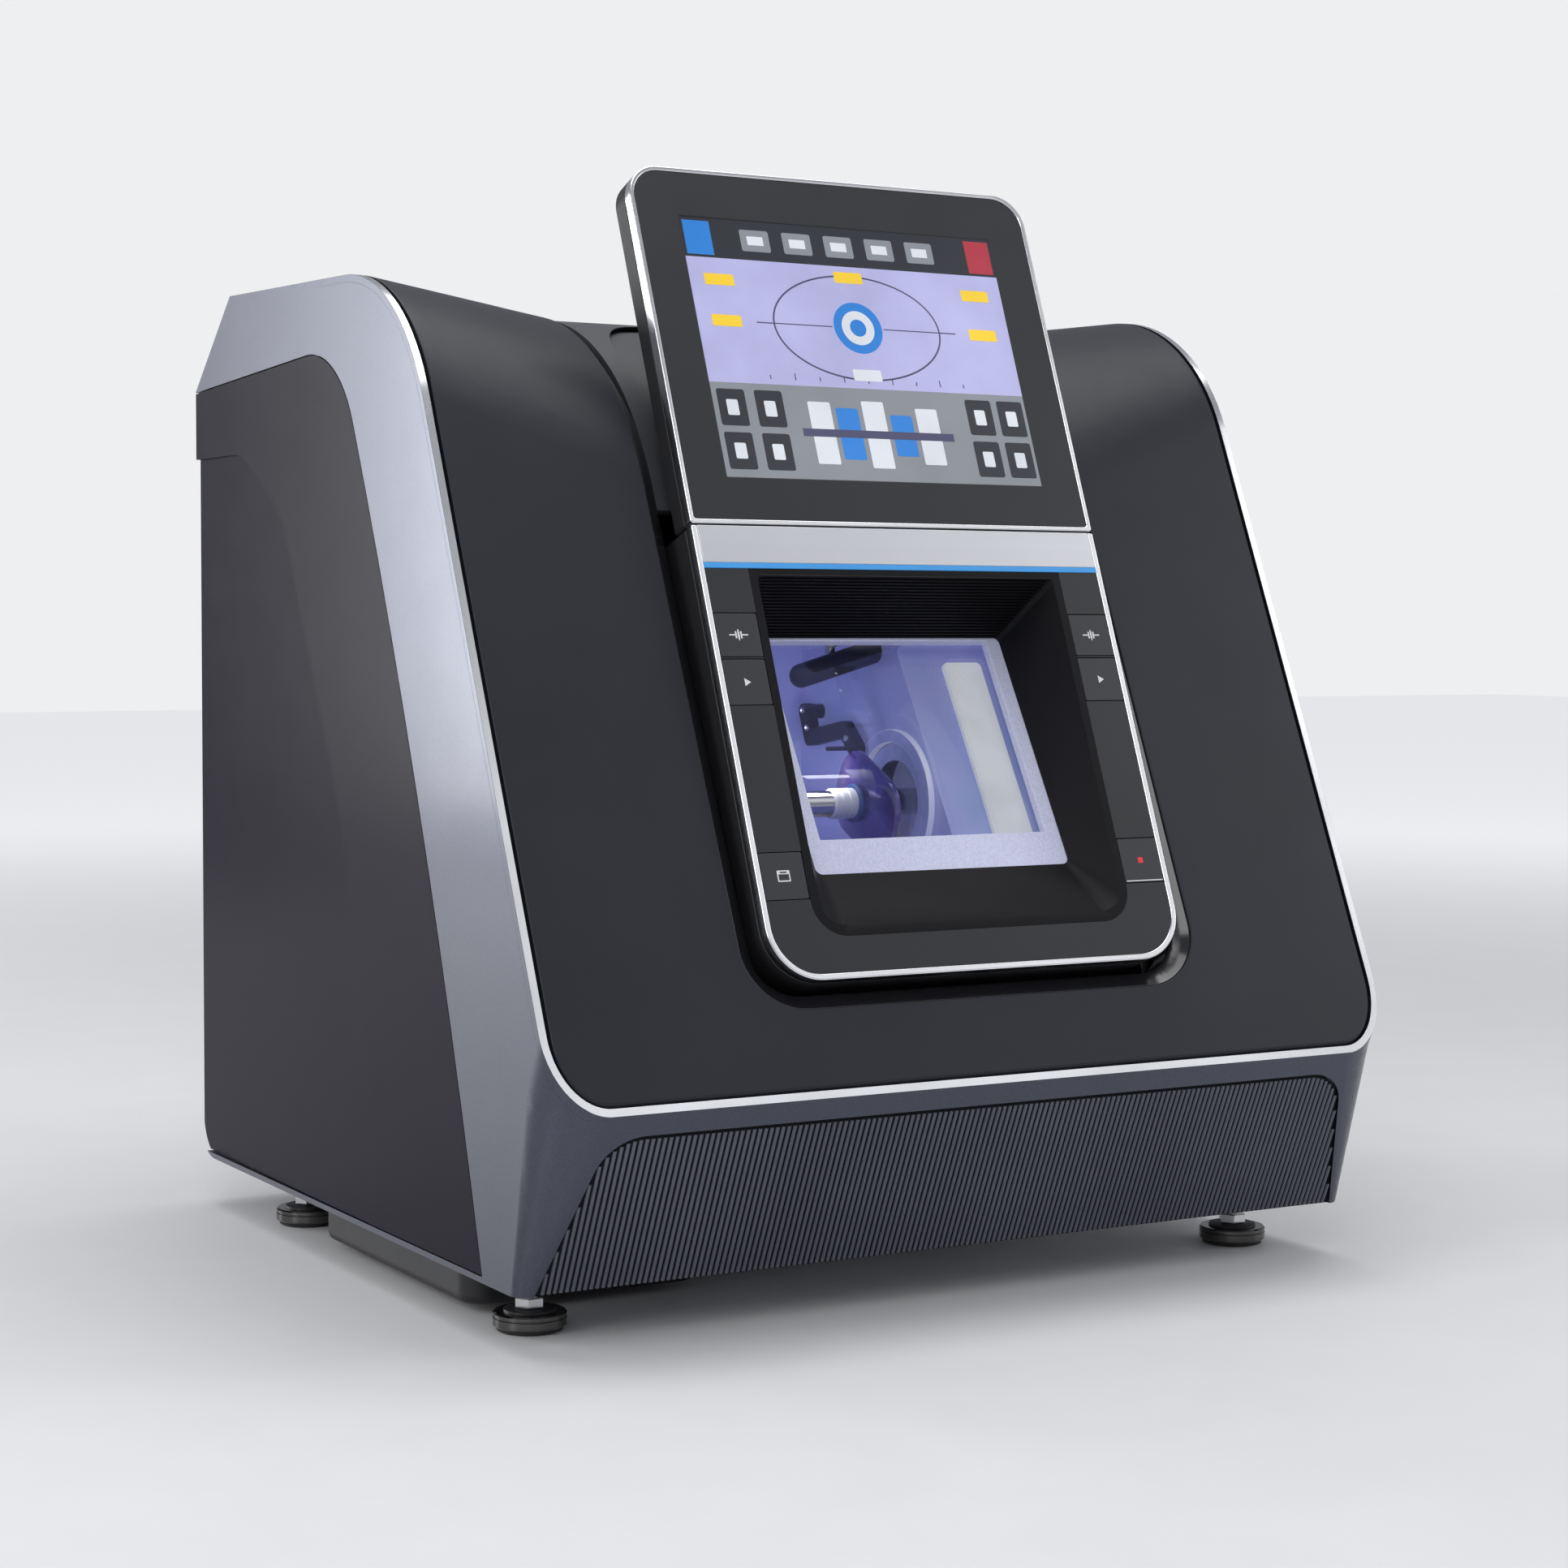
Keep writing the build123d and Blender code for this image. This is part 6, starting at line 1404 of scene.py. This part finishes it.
@dataclass
class Studio:
    """Floor, backdrop, lights and camera."""

    position: Point = (-0.84791, -1.48971, 0.3513)
    lens: float = 69.72
    yaw: float = 29.97
    pitch: float = 3.19
    roll: float = 0.26
    floor_half: float = 9.0
    backdrop: Colour = (0.86, 0.865, 0.875)
    far_glow: float = 0.65
    fade_span: Flat = (0.9, 3.6)
    sky: Colour = (0.9, 0.93, 1.0)
    sky_strength: float = 0.3
    lights: ClassVar[dict[str, tuple[Point, Point, Flat, float]]] = {
        "overhead": ((0.1, 0.1, 2.1), (0.0, 0.0, 0.3), (2.2, 1.8), 30.0),
        "rear_left": ((-1.5, 1.9, 0.55), (-0.2, -0.1, 0.3), (0.7, 0.9), 18.0),
        "left_strip": ((-2.1, -0.5, 0.9), (0.0, 0.0, 0.3), (0.5, 1.6), 12.0),
        "front_left": ((-1.4, -2.0, 1.7), (0.0, -0.1, 0.3), (1.2, 1.2), 14.0),
        "front_right": ((2.3, -1.2, 1.3), (0.0, 0.0, 0.3), (0.8, 1.6), 12.0),
        "trim_sheet": ((1.6, -2.4, 1.9), (0.0, -0.2, 0.2), (1.5, 1.5), 4.0),
        "chamber": ((-0.03, -0.1, 0.28), (-0.03, -0.02, 0.22), (0.03, 0.04), 0.04),
    }

    def build(self) -> None:
        """Sets the stage."""
        self._floor()
        self._world()
        for name, (place, aim, size, power) in self.lights.items():
            self._light(name, Vector(place), Vector(aim), size, power)
        self._camera()

    def _floor(self) -> None:
        """Lays a wide pale floor."""
        half = self.floor_half
        mesh = bpy.data.meshes.new("floor")
        corners = [(-half, -half, 0), (half, -half, 0), (half, half, 0), (-half, half, 0)]
        mesh.from_pydata(corners, [], [(0, 1, 2, 3)])
        mesh.materials.append(self._floor_material())
        linked("floor", mesh)

    def _floor_material(self) -> bpy.types.Material:
        """Returns the floor's finish, which fades into the backdrop for the camera's rays."""
        made = FLOOR.material()
        bench = NodeBench(made.node_tree)
        shader = made.node_tree.nodes["Principled BSDF"]
        place = bench.add("ShaderNodeTexCoord").outputs["Object"]
        reach = bench.add("ShaderNodeVectorMath", {0: place}, operation="LENGTH")
        fades = {
            "From Min": self.fade_span[0],
            "From Max": self.fade_span[1],
            "To Max": self.far_glow,
            "Value": reach.outputs["Value"],
        }
        fade = bench.add("ShaderNodeMapRange", fades, interpolation_type="SMOOTHSTEP")
        path = bench.add("ShaderNodeLightPath").outputs["Is Camera Ray"]
        both = {0: fade.outputs["Result"], 1: path}
        only = bench.add("ShaderNodeMath", both, operation="MULTIPLY")
        bench.feed(shader, {
            "Emission Color": (*self.backdrop, 1.0),
            "Emission Strength": only.outputs["Value"],
        })
        return made

    def _world(self) -> None:
        """Gives a dim even light, and a pale backdrop to the camera only."""
        world = bpy.data.worlds.new("studio")
        bpy.context.scene.world = world
        world.use_nodes = True
        bench = NodeBench(world.node_tree)
        world.node_tree.nodes.clear()
        dim, pale = (
            bench.add("ShaderNodeBackground", {"Color": (*colour, 1.0), "Strength": strength})
            for colour, strength in ((self.sky, self.sky_strength), (self.backdrop, 1.0))
        )
        mix = bench.add("ShaderNodeMixShader", {
            0: bench.add("ShaderNodeLightPath").outputs["Is Camera Ray"],
            1: dim.outputs["Background"],
            2: pale.outputs["Background"],
        })
        bench.add("ShaderNodeOutputWorld", {"Surface": mix.outputs["Shader"]})

    @staticmethod
    def _light(name: str, place: Vector, aim: Vector, size: Flat, power: float) -> None:
        """Hangs a soft rectangular light.

        Args:
            name: the light's name.
            place: its place.
            aim: the point that it faces.
            size: its width and height in metres.
            power: its power in watts.
        """
        data = bpy.data.lights.new(name, "AREA")
        data.shape = "RECTANGLE"
        data.size, data.size_y = size
        data.energy = power
        turn = (aim - place).to_track_quat("-Z", "Y").to_matrix().to_4x4()
        linked(name, data).matrix_world = Matrix.Translation(place) @ turn

    def _camera(self) -> None:
        """Sets the camera at the photo's viewing angle."""
        yaw, pitch, roll = (math.radians(turn) for turn in (self.yaw, self.pitch, self.roll))
        level = math.cos(pitch)
        ahead = Vector((math.sin(yaw) * level, math.cos(yaw) * level, -math.sin(pitch)))
        right = Vector((math.cos(yaw), -math.sin(yaw), 0.0))
        up = right.cross(ahead)
        right_rolled = math.cos(roll) * right + math.sin(roll) * up
        up_rolled = -math.sin(roll) * right + math.cos(roll) * up
        turn = Matrix((right_rolled, up_rolled, -ahead)).transposed().to_4x4()
        data = bpy.data.cameras.new("camera")
        data.lens = self.lens
        data.sensor_width = 36.0
        camera = linked("camera", data)
        camera.matrix_world = Matrix.Translation(Vector(self.position)) @ turn
        bpy.context.scene.camera = camera


def main() -> None:
    """Builds the whole picture."""
    logging.basicConfig(level=logging.INFO)
    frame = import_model()
    shop = Workshop(frame)
    for part in (BodyShell, Base, Tower, Display, Chamber, Carriage, Grinder, RearFittings):
        part(shop).build()
    Studio().build()
    bpy.context.scene.view_settings.view_transform = "Standard"
    LOG.info("nodes left as they are: %s", sorted(shop.left))


if __name__ == "__main__":
    main()
